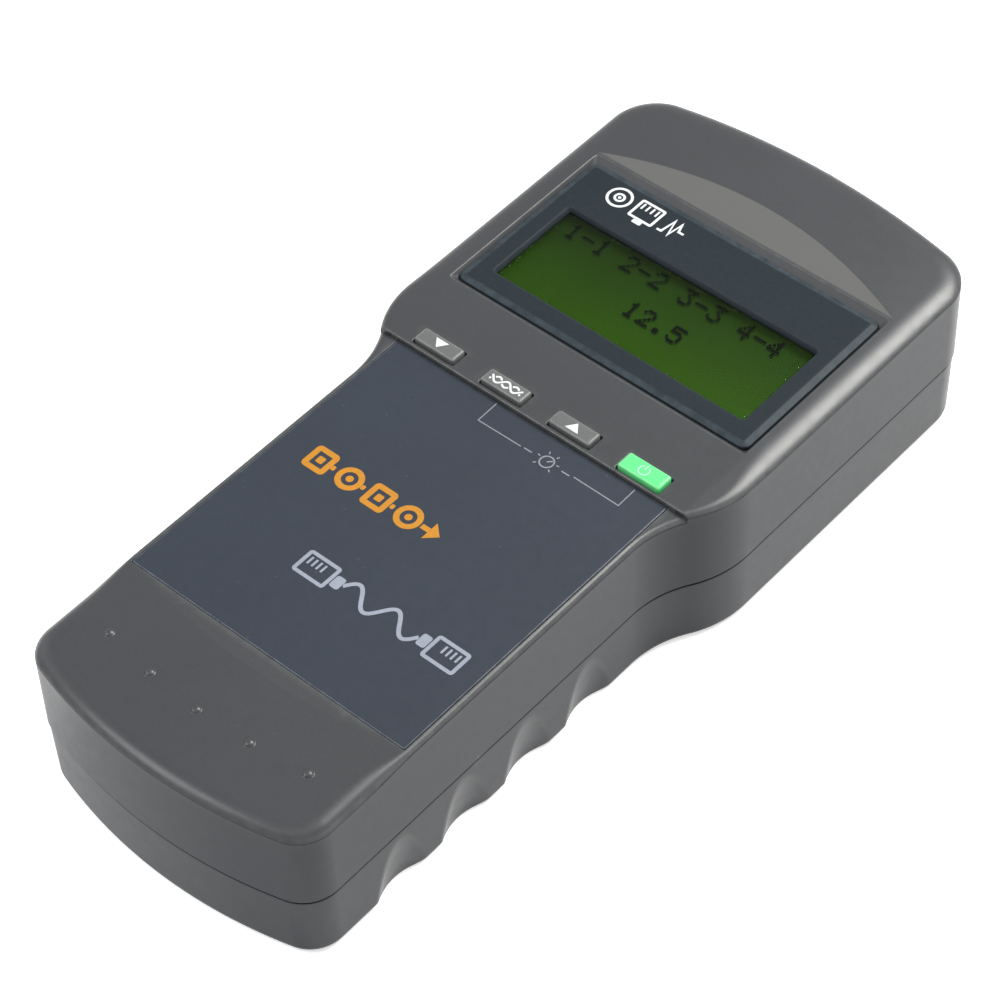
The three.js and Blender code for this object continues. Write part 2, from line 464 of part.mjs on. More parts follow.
// battery leads, above the bay's roof, to the board
function lead(x, xEnd) {
  const pts = [[x, 14, 17.5], [x, 14.6, 19.6], [x, 18, 21.6], [x * 0.97, 40, 23.2], [x * 0.9, 66, 23.4], [xEnd, 80, 23.6], [xEnd, 85.6, 23.0], [xEnd, 86.6, 21.0]];
  const path = new THREE.CatmullRomCurve3(pts.map((p) => new THREE.Vector3(...p)), false, "centripetal");
  const s = new THREE.Shape();
  for (let i = 0; i < 8; i++) {
    const a = (i / 8) * 2 * Math.PI;
    i ? s.lineTo(0.7 * Math.cos(a), 0.7 * Math.sin(a)) : s.moveTo(0.7, 0);
  }
  s.closePath();
  return geometryOf(solid(new THREE.ExtrudeGeometry(s, { steps: 30, bevelEnabled: false, extrudePath: path })));
}
add("battery_lead_red", lead(20, 15.5), "red");
add("battery_lead_black", lead(-20, -15.5), "black");

// board components
add("buzzer", cyl(0, 91.5, BOARD_Z1 + GAP, 27.6, 6, 6, 28).subtract(cyl(0, 91.5, 26.9, 30, 1.1, 1.1, 12)), "black");
function chip(x, y, w, d, z0, z1, lead) {
  let c = box(x - w / 2, x + w / 2, y - d / 2, y + d / 2, z0, z1);
  return c.add(box(x - w / 2 - lead, x + w / 2 + lead, y - d / 2 + 1, y + d / 2 - 1, z0 + 0.35, z0 + 0.6));
}
add("controller_chip", chip(0, 132, 14, 14, BOARD_Z0 - GAP - 1.6, BOARD_Z0 - GAP, 1.2), "black");
add("switch_chip_left", chip(-16, 152, 7.5, 12.8, BOARD_Z0 - GAP - 1.6, BOARD_Z0 - GAP, 1.4), "black");
add("switch_chip_right", chip(16, 152, 7.5, 12.8, BOARD_Z0 - GAP - 1.6, BOARD_Z0 - GAP, 1.4), "black");
add("crystal", prismZ(roundedRect(-15.6, -4.4, 112, 116.6, 2.2), BOARD_Z0 - GAP - 3.6, BOARD_Z0 - GAP), "steel");
add("capacitor", geometryOf(cyl(14, 114, BOARD_Z0 - GAP - 9, BOARD_Z0 - GAP, 4, 4, 20)), "black");

// screws: pan heads with a cross recess
function screw(x, y, zHead, zNeck, zTip, rHead, r) {
  let s = cyl(x, y, zHead, zNeck, rHead * 0.82, rHead, 20).add(cyl(x, y, zNeck - 0.05, zTip - 1.2, r, r, 14)).add(cyl(x, y, zTip - 1.25, zTip, r, 0.35, 14));
  for (const [a, b] of [[rHead * 0.62, 0.42], [0.42, rHead * 0.62]]) s = s.subtract(box(x - a, x + a, y - b, y + b, zHead - 1, zHead + 0.9));
  return s;
}
CASE_SCREWS.forEach(([x, y], i) => add("case_screw_" + (i + 1), screw(x, y, BACK_Z + 0.9, BACK_Z + 2.9, 20.5, 2.75, 1.3), "steel"));
BOARD_SCREWS.forEach(([x, y], i) => add("board_screw_" + (i + 1), screw(x, y, 17.0, BOARD_Z0 - GAP, 25.8, 2.4, 1.12), "steel"));

export default root;
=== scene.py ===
import math

import bpy
import numpy as np
from mathutils import Matrix, Vector
from mathutils.geometry import delaunay_2d_cdt


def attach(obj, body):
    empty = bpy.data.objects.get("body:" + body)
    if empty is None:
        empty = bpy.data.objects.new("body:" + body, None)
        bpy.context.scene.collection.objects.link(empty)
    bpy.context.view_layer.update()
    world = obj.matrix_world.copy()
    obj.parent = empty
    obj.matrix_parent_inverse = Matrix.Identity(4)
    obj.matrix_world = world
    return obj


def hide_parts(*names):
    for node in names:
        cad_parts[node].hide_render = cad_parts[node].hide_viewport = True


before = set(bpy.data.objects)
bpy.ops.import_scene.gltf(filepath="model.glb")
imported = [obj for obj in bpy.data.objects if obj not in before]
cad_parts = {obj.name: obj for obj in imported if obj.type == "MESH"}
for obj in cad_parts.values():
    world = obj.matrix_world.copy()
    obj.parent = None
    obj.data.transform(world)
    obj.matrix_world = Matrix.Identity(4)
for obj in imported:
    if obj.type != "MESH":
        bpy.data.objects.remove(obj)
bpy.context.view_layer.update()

SCENE = bpy.context.scene
Y_MID, BACK_Z = 91.85, -2.2
TO_ROW = Matrix.Scale(0.001, 4) @ Matrix.Translation((0, -Y_MID, -BACK_Z))

# ------------------------------------------------------------------ dimensions (mm), the same as the CAD part's
LENGTH, HEAD_HALF, GRIP_HALF = 183.7, 40.3, 33.2
GRIP_BOW, HEAD_BOW, GRIP_CORNER, HEAD_CORNER = 100.0, 205.0, 7.6, 9.8
WAIST_Y0, WAIST_Y1 = 88.0, 112.0
FRONT_Z0, REAR_Z1 = 13.08, 12.78
REAR_INSET, WALL, FLOOR = 0.25, 2.2, BACK_Z + 2.0
REAR_DRAFT, END_DRAFT = 0.1, 0.24
LABEL_Z, FACE_Z, STEP_Y = 31.3, 32.2, 99.2
HEAD_CROWN_Z, GRIP_CROWN_Z, HEAD_CROWN_2R, GRIP_CROWN_2R = 33.4, 32.2, 1020.0, 1127.0
LABEL_Y0, LABEL_HALF = 30.4, 31.7
SLOPE_LOW_Y, SLOPE_HIGH_Y0, SLOPE_HIGH_Y1 = 26.1, 160.5, 167.8
GRIP_CEILING, HEAD_CEILING = 29.2, 30.0
LENS_HALF, LENS_Y0, LENS_Y1 = 34.0, 118.2, 158.0
WINDOW_HALF, WINDOW_Y0, WINDOW_Y1 = 29.3, 123.6, 145.0
KEY_Y, KEY_W, KEY_D, KEY_TOP = 102.1, 9.4, 3.5, 33.1
KEY_X = [-24.15, -8.05, 8.05, 24.15]
PORT_X, PORT_HALF, PORT_Z0, PORT_Z1, PORT_Y0, PORT_Y1 = 14.0, 7.95, 5.3, 18.7, 162.8, 181.8
CELL_R, CELL_PITCH, CELL_BODY, CELL_Z = 7.1, 14.5, 49.2, 7.9
BAY_HALF, BAY_Y0, BAY_Y1, BAY_TOP = 29.2, 11.6, 69.4, 15.9
DOOR_HALF, DOOR_Y0, DOOR_Y1, DOOR_Z0, DOOR_Z1 = 28.9, 8.9, 71.7, BACK_Z + 0.15, BACK_Z + 2.2
GROOVE_Y, GROOVE_R, GROOVE_DEPTH, GROOVE_FADE = [26.5, 43.0, 59.5, 76.0], 11.2, 1.6, 9.6
CASE_SCREWS = [(-33, 173.5), (33, 173.5), (-26.3, 77.8), (26.3, 77.8)]
BUMPS = [(0, 13.8), (11.6, 14.5), (-11.6, 14.5), (23.2, 16.3), (-23.2, 16.3)]
GAP = 0.3


# ------------------------------------------------------------------ mesh helpers
def make(name, verts, faces):
    me = bpy.data.meshes.new(name)
    me.from_pydata([tuple(map(float, v)) for v in verts], [], faces)
    me.update()
    ob = bpy.data.objects.new(name, me)
    SCENE.collection.objects.link(ob)
    return ob


def boolean(ob, cutter, op="DIFFERENCE"):
    m = ob.modifiers.new("b", "BOOLEAN")
    m.operation, m.object, m.solver = op, cutter, "MANIFOLD"
    dg = bpy.context.evaluated_depsgraph_get()
    me = bpy.data.meshes.new_from_object(ob.evaluated_get(dg))
    ob.modifiers.clear()
    old = ob.data
    if len(me.polygons) == 0:
        raise RuntimeError("empty boolean result on " + ob.name)
    ob.data = me
    bpy.data.meshes.remove(old)
    cm = cutter.data
    bpy.data.objects.remove(cutter)
    bpy.data.meshes.remove(cm)
    return ob


def rrect(x0, x1, y0, y1, r, seg=6):
    """A rectangle with round corners, anticlockwise."""
    pts = []
    for cx, cy, a0 in ((x1 - r, y1 - r, 0), (x0 + r, y1 - r, 90), (x0 + r, y0 + r, 180), (x1 - r, y0 + r, 270)):
        for i in range(seg + 1):
            a = math.radians(a0 + 90 * i / seg)
            pts.append((cx + r * math.cos(a), cy + r * math.sin(a)))
    return pts


def circle(cx, cy, r, n=40):
    return [(cx + r * math.cos(2 * math.pi * i / n), cy + r * math.sin(2 * math.pi * i / n)) for i in range(n)]


def ring(pts, z):
    return [(x, y, z) for x, y in pts]


def loft(name, rings, closed=False, hub=None):
    """A body through rings of equal point count, bottom to top, capped flat, or joined end to end when closed."""
    n = len(rings[0])
    verts = [v for r in rings for v in r]
    faces = []
    m = len(rings)
    for k in range(m if closed else m - 1):
        a, b = k * n, ((k + 1) % m) * n
        for i in range(n):
            j = (i + 1) % n
            faces.append((a + i, a + j, b + j, b + i))
    if not closed:
        faces.append(tuple(range(n - 1, -1, -1)))
        faces.append(tuple((m - 1) * n + i for i in range(n)))
    return make(name, verts, faces)


def prism(name, pts, z0, z1):
    return loft(name, [ring(pts, z0), ring(pts, z1)])


def block(name, x0, x1, y0, y1, z0, z1):
    return prism(name, [(x1, y1), (x0, y1), (x0, y0), (x1, y0)], z0, z1)


def rounded_block(name, x0, x1, y0, y1, z0, z1, corner=0.4, fil=0.15, seg=5, steps=3):
    """A block with round corners in plan and filleted top and bottom edges."""
    rs = []
    for i in range(steps + 1):
        a = math.pi / 2 * i / steps
        d, dz = fil * (1 - math.sin(a)), fil * (1 - math.cos(a))
        rs.append(ring(rrect(x0 + d, x1 - d, y0 + d, y1 - d, max(corner - d, 0.02), seg), z0 + dz))
    for i in range(steps, -1, -1):
        a = math.pi / 2 * i / steps
        d, dz = fil * (1 - math.sin(a)), fil * (1 - math.cos(a))
        rs.append(ring(rrect(x0 + d, x1 - d, y0 + d, y1 - d, max(corner - d, 0.02), seg), z1 - dz))
    return loft(name, rs)


def cylinder(name, x, y, z0, z1, r, n=40, fil=0.0):
    if fil <= 0:
        return prism(name, circle(x, y, r, n), z0, z1)
    rs = []
    for s, zz in ((1, z0), (-1, z1)):
        part = []
        for i in range(4):
            a = math.pi / 2 * i / 3
            part.append(ring(circle(x, y, r - fil * (1 - math.sin(a)), n), zz + s * fil * (1 - math.cos(a))))
        rs += part if s == 1 else part[::-1]
    return loft(name, rs)


def smooth_by_angle(ob, degrees=32):
    me = ob.data
    for p in me.polygons:
        p.use_smooth = True
    me.set_sharp_from_angle(angle=math.radians(degrees))


def put(ob, body, mat, stands_for=(), angle=32, smooth=True):
    """Brings a piece into the row frame, gives it its finish and makes it ride on its body."""
    ob.data.transform(TO_ROW)
    if smooth:
        smooth_by_angle(ob, angle)
    mats = mat if isinstance(mat, (list, tuple)) else [mat]
    which = np.empty(len(ob.data.polygons), np.int32)
    ob.data.polygons.foreach_get("material_index", which)
    ob.data.materials.clear()
    for m in mats:
        ob.data.materials.append(m)
    ob.data.polygons.foreach_set("material_index", np.minimum(which, len(mats) - 1).astype(np.int32))
    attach(ob, body)
    if stands_for:
        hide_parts(*stands_for)
    return ob


def join(name, obs):
    """Several bodies as one mesh."""
    verts, faces, idx = [], [], []
    for o in obs:
        b = len(verts)
        verts += [tuple(v.co) for v in o.data.vertices]
        for p in o.data.polygons:
            faces.append(tuple(b + i for i in p.vertices))
            idx.append(p.material_index)
    out = make(name, verts, faces)
    out.data.polygons.foreach_set("material_index", idx)
    for o in obs:
        me = o.data
        bpy.data.objects.remove(o)
        bpy.data.meshes.remove(me)
    return out


# ------------------------------------------------------------------ case outline
def smoothstep(a, b, t):
    u = np.clip((np.asarray(t, float) - a) / (b - a), 0, 1)
    return u * u * (3 - 2 * u)


def half_outline(step, corner_step):
    """Right half of the outline from the grip end to the socket end: rows of x, y, outward normal."""
    st = []
    gx = GRIP_HALF - GRIP_CORNER
    gy = GRIP_BOW - math.sqrt((GRIP_BOW - GRIP_CORNER) ** 2 - gx**2)
    a1 = math.asin(gx / (GRIP_BOW - GRIP_CORNER))
    n = max(2, round(GRIP_BOW * a1 / step))
    for i in range(n):
        a = a1 * i / n
        st.append((GRIP_BOW * math.sin(a), GRIP_BOW - GRIP_BOW * math.cos(a), math.sin(a), -math.cos(a)))
    n = max(2, round(GRIP_CORNER * (math.pi / 2 - a1) / corner_step))
    for i in range(n):
        a = a1 + (math.pi / 2 - a1) * i / n
        st.append((gx + GRIP_CORNER * math.sin(a), gy - GRIP_CORNER * math.cos(a), math.sin(a), -math.cos(a)))
    n = max(2, round((WAIST_Y0 - gy) / step))
    for i in range(n):
        st.append((GRIP_HALF, gy + (WAIST_Y0 - gy) * i / n, 1.0, 0.0))
    dx, dy = HEAD_HALF - GRIP_HALF, WAIST_Y1 - WAIST_Y0
    th = 2 * math.atan(dx / dy)
    R = dy / (2 * math.sin(th))
    n = max(2, round(R * th / step))
    for i in range(n):
        a = th * i / n
        st.append((GRIP_HALF + R * (1 - math.cos(a)), WAIST_Y0 + R * math.sin(a), math.cos(a), -math.sin(a)))
    for i in range(n):
        a = th * (1 - i / n)
        st.append((HEAD_HALF - R * (1 - math.cos(a)), WAIST_Y1 - R * math.sin(a), math.cos(a), -math.sin(a)))
    hx = HEAD_HALF - HEAD_CORNER
    hc = LENGTH - HEAD_BOW
    hy = hc + math.sqrt((HEAD_BOW - HEAD_CORNER) ** 2 - hx**2)
    a2 = math.asin(hx / (HEAD_BOW - HEAD_CORNER))
    n = max(2, round((hy - WAIST_Y1) / step))
    for i in range(n):
        st.append((HEAD_HALF, WAIST_Y1 + (hy - WAIST_Y1) * i / n, 1.0, 0.0))
    n = max(2, round(HEAD_CORNER * (math.pi / 2 - a2) / corner_step))
    for i in range(n):
        a = math.pi / 2 - (math.pi / 2 - a2) * i / n
        st.append((hx + HEAD_CORNER * math.sin(a), hy + HEAD_CORNER * math.cos(a), math.sin(a), math.cos(a)))
    n = max(2, round(HEAD_BOW * a2 / step))
    for i in range(n + 1):
        a = a2 * (1 - i / n)
        st.append((HEAD_BOW * math.sin(a), hc + HEAD_BOW * math.cos(a), math.sin(a), math.cos(a)))
    return np.array(st)


def full_outline(step, corner_step):
    h = half_outline(step, corner_step)
    left = h[1:-1][::-1].copy()
    left[:, 0] *= -1
    left[:, 2] *= -1
    return np.vstack([h, left])


OUT = full_outline(0.75, 0.4)  # the working outline
FINE = half_outline(0.1, 0.06)  # for distances to it


def inset_loop(st, d):
    return np.column_stack([st[:, 0] - st[:, 2] * d, st[:, 1] - st[:, 3] * d])


def nearest(x, y):
    """Distance inside the outline, the outward normal there, and the station's y."""
    ax, sx = np.abs(x), np.where(x < 0, -1.0, 1.0)
    k = np.empty(len(x), int)
    for i in range(0, len(x), 2000):
        s = slice(i, i + 2000)
        dd = (ax[s, None] - FINE[None, :, 0]) ** 2 + (y[s, None] - FINE[None, :, 1]) ** 2
        k[s] = dd.argmin(1)
    f = FINE[k]
    d = -((ax - f[:, 0]) * f[:, 2] + (y - f[:, 1]) * f[:, 3])
    return d, f[:, 2] * sx, f[:, 3], f[:, 1]


# ------------------------------------------------------------------ heights of the front face, each as (z, dz/dx, dz/dy)
def smin(a, b, k):
    h = np.clip(0.5 + 0.5 * (b[0] - a[0]) / k, 0, 1)
    g = 1 - h
    return (b[0] * g + a[0] * h - k * h * g, b[1] * g + a[1] * h, b[2] * g + a[2] * h)


def smax(a, b, k):
    m = smin(tuple(-v for v in a), tuple(-v for v in b), k)
    return tuple(-v for v in m)


def plane(c, gx, gy, x, y):
    z = np.zeros(len(x))
    return (c + gx * x + gy * y + z, gx + z, gy + z)


def crown_band(top, r2, w, h, x, near):
    d, nx, ny, ys = near
    W, Hh = w(ys), h(ys)
    u = np.clip(1 - d / W, 0, 1 - 1e-7)
    root = np.sqrt(1 - u**4)
    g = 0.75 * u**2.2 + 0.45 * (1 - root)
    dg = 1.65 * u**1.2 + 0.9 * u**3 / root
    s = np.minimum(Hh * dg / W, 300)
    return (top - x * x / r2 - Hh * g, -2 * x / r2 - s * nx, -s * ny)


def head_w(y): return 1.4 + 3.2 * smoothstep(100, 122, y)
def head_h(y): return 0.7 + 0.45 * smoothstep(100, 122, y)
def grip_w(y): return 3.4 - 2.1 * smoothstep(20, 32, y)
def grip_h(y): return 1.4 - 0.65 * smoothstep(20, 32, y)


def rect_dist(x, y, x0, x1, y0, y1, r):
    """Signed distance to a round-cornered rectangle and its gradient."""
    cx, cy, hx, hy = (x0 + x1) / 2, (y0 + y1) / 2, (x1 - x0) / 2 - r, (y1 - y0) / 2 - r
    px, py = x - cx, y - cy
    sx, sy = np.where(px < 0, -1.0, 1.0), np.where(py < 0, -1.0, 1.0)
    qx, qy = np.abs(px) - hx, np.abs(py) - hy
    mx, my = np.maximum(qx, 0), np.maximum(qy, 0)
    ln = np.hypot(mx, my)
    D = ln + np.minimum(np.maximum(qx, qy), 0) - r
    out = ln > 1e-9
    gx = np.where(out, mx / np.maximum(ln, 1e-9), (qx > qy) * 1.0) * sx
    gy = np.where(out, my / np.maximum(ln, 1e-9), (qx <= qy) * 1.0) * sy
    return D, gx, gy


def round_over(Z, D, r):
    """Rolls the surface down over an edge of radius r at D = 0; below the edge it stays r lower."""
    d, gx, gy = D
    q = 1 - np.clip(d / r, 0, 1)
    s = np.sqrt(np.maximum(1 - q * q, 1e-9))
    k = np.where(q > 0, np.minimum(q / s, 300), 0)
    return (Z[0] - r * (1 - s), Z[1] + k * gx, Z[2] + k * gy)


def pocket(Z, D, r, floor, wall=0.04):
    E = round_over(Z, D, r)
    inside = D[0] < -wall * 0.5
    return (np.where(inside, floor, E[0]), np.where(inside, 0, E[1]), np.where(inside, 0, E[2]))


STEP_R, POCKET_R, LENS_R, KEYHOLE_R = 0.34, 0.12, 0.08, 0.2
POCKET = (-LABEL_HALF - 0.25, LABEL_HALF + 0.25, LABEL_Y0 - 0.2, 230.0, 0.35)
RECESS = (-LENS_HALF - GAP, LENS_HALF + GAP, LENS_Y0 - GAP, LENS_Y1 + GAP, 1.7)


def key_hole(i, o=0.0):
    d = 0.2 if i == 3 else 0.0
    x = KEY_X[i]
    return (x - KEY_W / 2 - GAP - o, x + KEY_W / 2 + GAP + o, KEY_Y - KEY_D / 2 - GAP - d - o, KEY_Y + KEY_D / 2 + GAP + d + o)


def front_height(x, y):
    x, y = np.asarray(x, float), np.asarray(y, float)
    near = nearest(x, y)
    # head: crowned top cut by the flat face, which turns up again as a slope above the display
    rise = (HEAD_CROWN_Z - FACE_Z) / (SLOPE_HIGH_Y1 - SLOPE_HIGH_Y0)
    face = smax(plane(FACE_Z, 0, 0, x, y), plane(FACE_Z - rise * SLOPE_HIGH_Y0, 0, rise, x, y), 0.03)
    head = smin(crown_band(HEAD_CROWN_Z, HEAD_CROWN_2R, head_w, head_h, x, near), face, 0.035)
    sx = np.where(x < 0, -1.0, 1.0)
    side = (31.3 + 1.5 * (np.abs(x) - 34.2) / 1.3, 1.5 / 1.3 * sx, np.zeros(len(x)))
    low = plane(31.3 + 1.5 * 118.0 / 1.8, 0, -1.5 / 1.8, x, y)
    high = plane(31.3 - 1.5 * 158.2 / 2.8, 0, 1.5 / 2.8, x, y)
    head = smin(head, smax(smax(side, low, 0.5), high, 0.5), 0.1)
    head = pocket(head, rect_dist(x, y, *RECESS), LENS_R, 30.7)
    for i in range(4):
        head = round_over(head, rect_dist(x, y, *key_hole(i), 0.35), KEYHOLE_R)
    # grip: crowned top cut by the label's plane, with a slope down to it from the end pad
    fall = (GRIP_CROWN_Z - LABEL_Z) / (LABEL_Y0 - SLOPE_LOW_Y)
    low_face = smax(plane(LABEL_Z, 0, 0, x, y), plane(LABEL_Z + fall * LABEL_Y0, 0, -fall, x, y), 0.02)
    grip = smin(crown_band(GRIP_CROWN_Z, GRIP_CROWN_2R, grip_w, grip_h, x, near), low_face, 0.045)
    for bx, by in BUMPS:
        rr = (x - bx) ** 2 + (y - by) ** 2
        c = GRIP_CROWN_Z - bx * bx / GRIP_CROWN_2R + 0.5 - 1.3
        q = np.sqrt(np.maximum(1.69 - rr, 0.05))
        ball = (np.where(rr < 1.64, c + q, c - 5), np.where(rr < 1.64, -(x - bx) / q, 0), np.where(rr < 1.64, -(y - by) / q, 0))
        grip = smax(grip, ball, 0.16)
    grip = pocket(grip, rect_dist(x, y, *POCKET), POCKET_R, 30.6)
    # step from the label up to the head
    up = round_over(head, (y - STEP_Y, np.zeros(len(x)), np.ones(len(x))), STEP_R)
    on = y > STEP_Y - 0.025
    return tuple(np.where(on, a, b) for a, b in zip(up, grip)), near


def plan_lines():
    """Points and constrained edges of the front face in plan: outline rings, creases, rims."""
    pts, segs = [], []

    def line(P, closed=False):
        b = len(pts)
        pts.extend((float(p[0]), float(p[1])) for p in P)
        segs.extend((b + i, b + i + 1) for i in range(len(P) - 1))
        if closed:
            segs.append((b + len(P) - 1, b))

    def run(x0, y0, x1, y1, step=1.2):
        n = max(1, int(math.hypot(x1 - x0, y1 - y0) / step))
        return [(x0 + (x1 - x0) * i / n, y0 + (y1 - y0) * i / n) for i in range(n + 1)]

    def box_loop(r, o, corner, step=1.5):
        c = rrect(r[0] - o, r[1] + o, r[2] - o, r[3] + o, max(corner + o, 0.02), 5)
        out = []
        for i in range(len(c)):
            a, b = c[i], c[(i + 1) % len(c)]
            n = max(1, int(math.hypot(b[0] - a[0], b[1] - a[1]) / step))
            out += [(a[0] + (b[0] - a[0]) * k / n, a[1] + (b[1] - a[1]) * k / n) for k in range(n)]
        return out

    for f in (0, 0.002, 0.008, 0.02, 0.045, 0.085, 0.14, 0.21, 0.3, 0.42, 0.56, 0.72, 0.88, 1.0):
        w = np.where(OUT[:, 1] > STEP_Y, head_w(OUT[:, 1]), grip_w(OUT[:, 1])) * f
        line(np.column_stack([OUT[:, 0] - OUT[:, 2] * w, OUT[:, 1] - OUT[:, 3] * w]), True)
    for o in (-0.05, 0, 0.003, 0.012, 0.035, 0.08, 0.15, 0.24, STEP_R, 0.5):
        line(run(-37.5, STEP_Y + o, 37.5, STEP_Y + o, 1.0))
    for s in (-1, 1):
        for o in (-1.4, -0.7, -0.35, -0.15, 0, 0.15, 0.35, 0.7):
            line(run(s * (34.99 + o), STEP_Y + 0.6, s * (34.99 + o), SLOPE_HIGH_Y0 + 1, 1.0))
    xs = np.linspace(-36, 36, 73)
    rise = (HEAD_CROWN_Z - FACE_Z) / (SLOPE_HIGH_Y1 - SLOPE_HIGH_Y0)
    for o in (-1.0, -0.5, -0.25, -0.1, 0, 0.1, 0.25, 0.5, 1.0):
        line(np.column_stack([xs, SLOPE_HIGH_Y0 + (1.2 - xs * xs / HEAD_CROWN_2R) / rise + o]))
    for o in (-0.4, -0.15, 0, 0.15, 0.4):
        line(run(-35, SLOPE_HIGH_Y0 + o, 35, SLOPE_HIGH_Y0 + o, 1.4))
    xs = np.linspace(-33, 33, 67)
    fall = (GRIP_CROWN_Z - LABEL_Z) / (LABEL_Y0 - SLOPE_LOW_Y)
    for o in (-0.6, -0.3, -0.12, 0, 0.12, 0.3, 0.6):
        line(np.column_stack([xs, LABEL_Y0 - (0.9 - xs * xs / GRIP_CROWN_2R) / fall + o]))
    for o in (-0.04, 0, 0.002, 0.008, 0.025, 0.06, POCKET_R):
        x, y, c = POCKET[1] + o, POCKET[2] - o, 0.35 + o
        P = run(-x, STEP_Y - 0.05, -x, y + c, 1.2)[:-1]
        P += [(-x + c - c * math.cos(a), y + c - c * math.sin(a)) for a in np.linspace(0, math.pi / 2, 6)]
        P += run(-x + c, y, x - c, y, 1.2)[1:-1]
        P += [(x - c + c * math.sin(a), y + c - c * math.cos(a)) for a in np.linspace(0, math.pi / 2, 6)]
        P += run(x, y + c, x, STEP_Y - 0.05, 1.2)[1:]
        line(P)
    for o in (-0.04, 0, 0.002, 0.008, 0.02, 0.045, LENS_R):
        line(box_loop(RECESS, o, 1.7), True)
    for o in (-0.3, -0.15, -0.06, 0, 0.06, 0.15, 0.3):
        line(box_loop((-34.98, 34.98, 116.92, 159.88), o, 1.0), True)
    for i in range(4):
        for o in (0.0, 0.003, 0.015, 0.045, 0.1, KEYHOLE_R):
            line(box_loop(key_hole(i), o, 0.35), True)
    for bx, by in BUMPS:
        for r in (0.15, 0.35, 0.55, 0.72, 0.86, 0.96, 1.04, 1.12, 1.22, 1.36, 1.6):
            line(circle(bx, by, r, 30), True)
    g = 2.1
    for j, y in enumerate(np.arange(1.5, LENGTH - 1, g * 0.866)):
        for x in np.arange(-39.5 + (j % 2) * g / 2, 39.6, g):
            pts.append((float(x), float(y)))
    return pts, segs


def inside_polygon(px, py, loop):
    res = np.zeros(len(px), bool)
    a = loop
    b = np.roll(loop, -1, 0)
    for (x0, y0), (x1, y1) in zip(a, b):
        if y0 == y1:
            continue
        c = ((y0 > py) != (y1 > py)) & (px < (x1 - x0) * (py - y0) / (y1 - y0) + x0)
        res ^= c
    return res


def triangulate(pts, segs, loop, holes=()):
    v, _, f, *_ = delaunay_2d_cdt([Vector(p) for p in pts], segs, [], 0, 1e-7, False)
    V = np.array([(p[0], p[1]) for p in v])
    T = np.array([t for t in f if len(t) == 3], int)
    C = V[T].mean(1)
    keep = inside_polygon(C[:, 0], C[:, 1], loop)
    for h in holes:
        keep &= ~inside_polygon(C[:, 0], C[:, 1], np.asarray(h))
    T = T[keep]
    A, B, C = V[T[:, 0]], V[T[:, 1]], V[T[:, 2]]
    area = (B[:, 0] - A[:, 0]) * (C[:, 1] - A[:, 1]) - (B[:, 1] - A[:, 1]) * (C[:, 0] - A[:, 0])
    T[area < 0] = T[area < 0][:, ::-1]
    used = np.unique(T)
    remap = -np.ones(len(V), int)
    remap[used] = np.arange(len(used))
    return V[used], remap[T]


def rim_of(T):
    """The triangulation's boundary as one ordered loop."""
    edges = {}
    for a, b, c in T.tolist():
        for e in ((a, b), (b, c), (c, a)):
            edges[e] = 1
    nxt = {a: b for a, b in edges if (b, a) not in edges}
    start = next(iter(nxt))
    loop, k = [start], nxt[start]
    while k != start:
        loop.append(k)
        k = nxt[k]
    if len(loop) != len(nxt):
        raise RuntimeError("the outline's triangulation has more than one rim")
    return loop


def ring_wall(name, d0, d1, z0, z1, st=OUT):
    """A closed band between two insets of the outline."""
    a, b = inset_loop(st, d0), inset_loop(st, d1)
    return loft(name, [ring(a, z0), ring(a, z1), ring(b, z1), ring(b, z0)], closed=True)


def outline_prism(name, d, z0, z1, y_from=None, y_to=None):
    P = prism(name, inset_loop(OUT, d), z0, z1)
    if y_from is not None:
        boolean(P, block("cut", -60, 60, y_from, y_to, z0 - 5, z1 + 5), "INTERSECT")
    return P


def mouth(x):
    return prism("mouth", rrect(x - PORT_HALF - 0.35, x + PORT_HALF + 0.35, 176, 190, 0.02, 2), PORT_Z0 - 0.35, PORT_Z1 + 0.35)


# ------------------------------------------------------------------ finishes
def srgb(r, g, b):
    return tuple(((c / 255 + 0.055) / 1.055) ** 2.4 if c > 10 else c / 255 / 12.92 for c in (r, g, b)) + (1.0,)


def nodes_of(name):
    m = bpy.data.materials.new(name)
    m.use_nodes = True
    nt = m.node_tree
    return m, nt, nt.nodes["Principled BSDF"], nt.nodes["Material Output"]


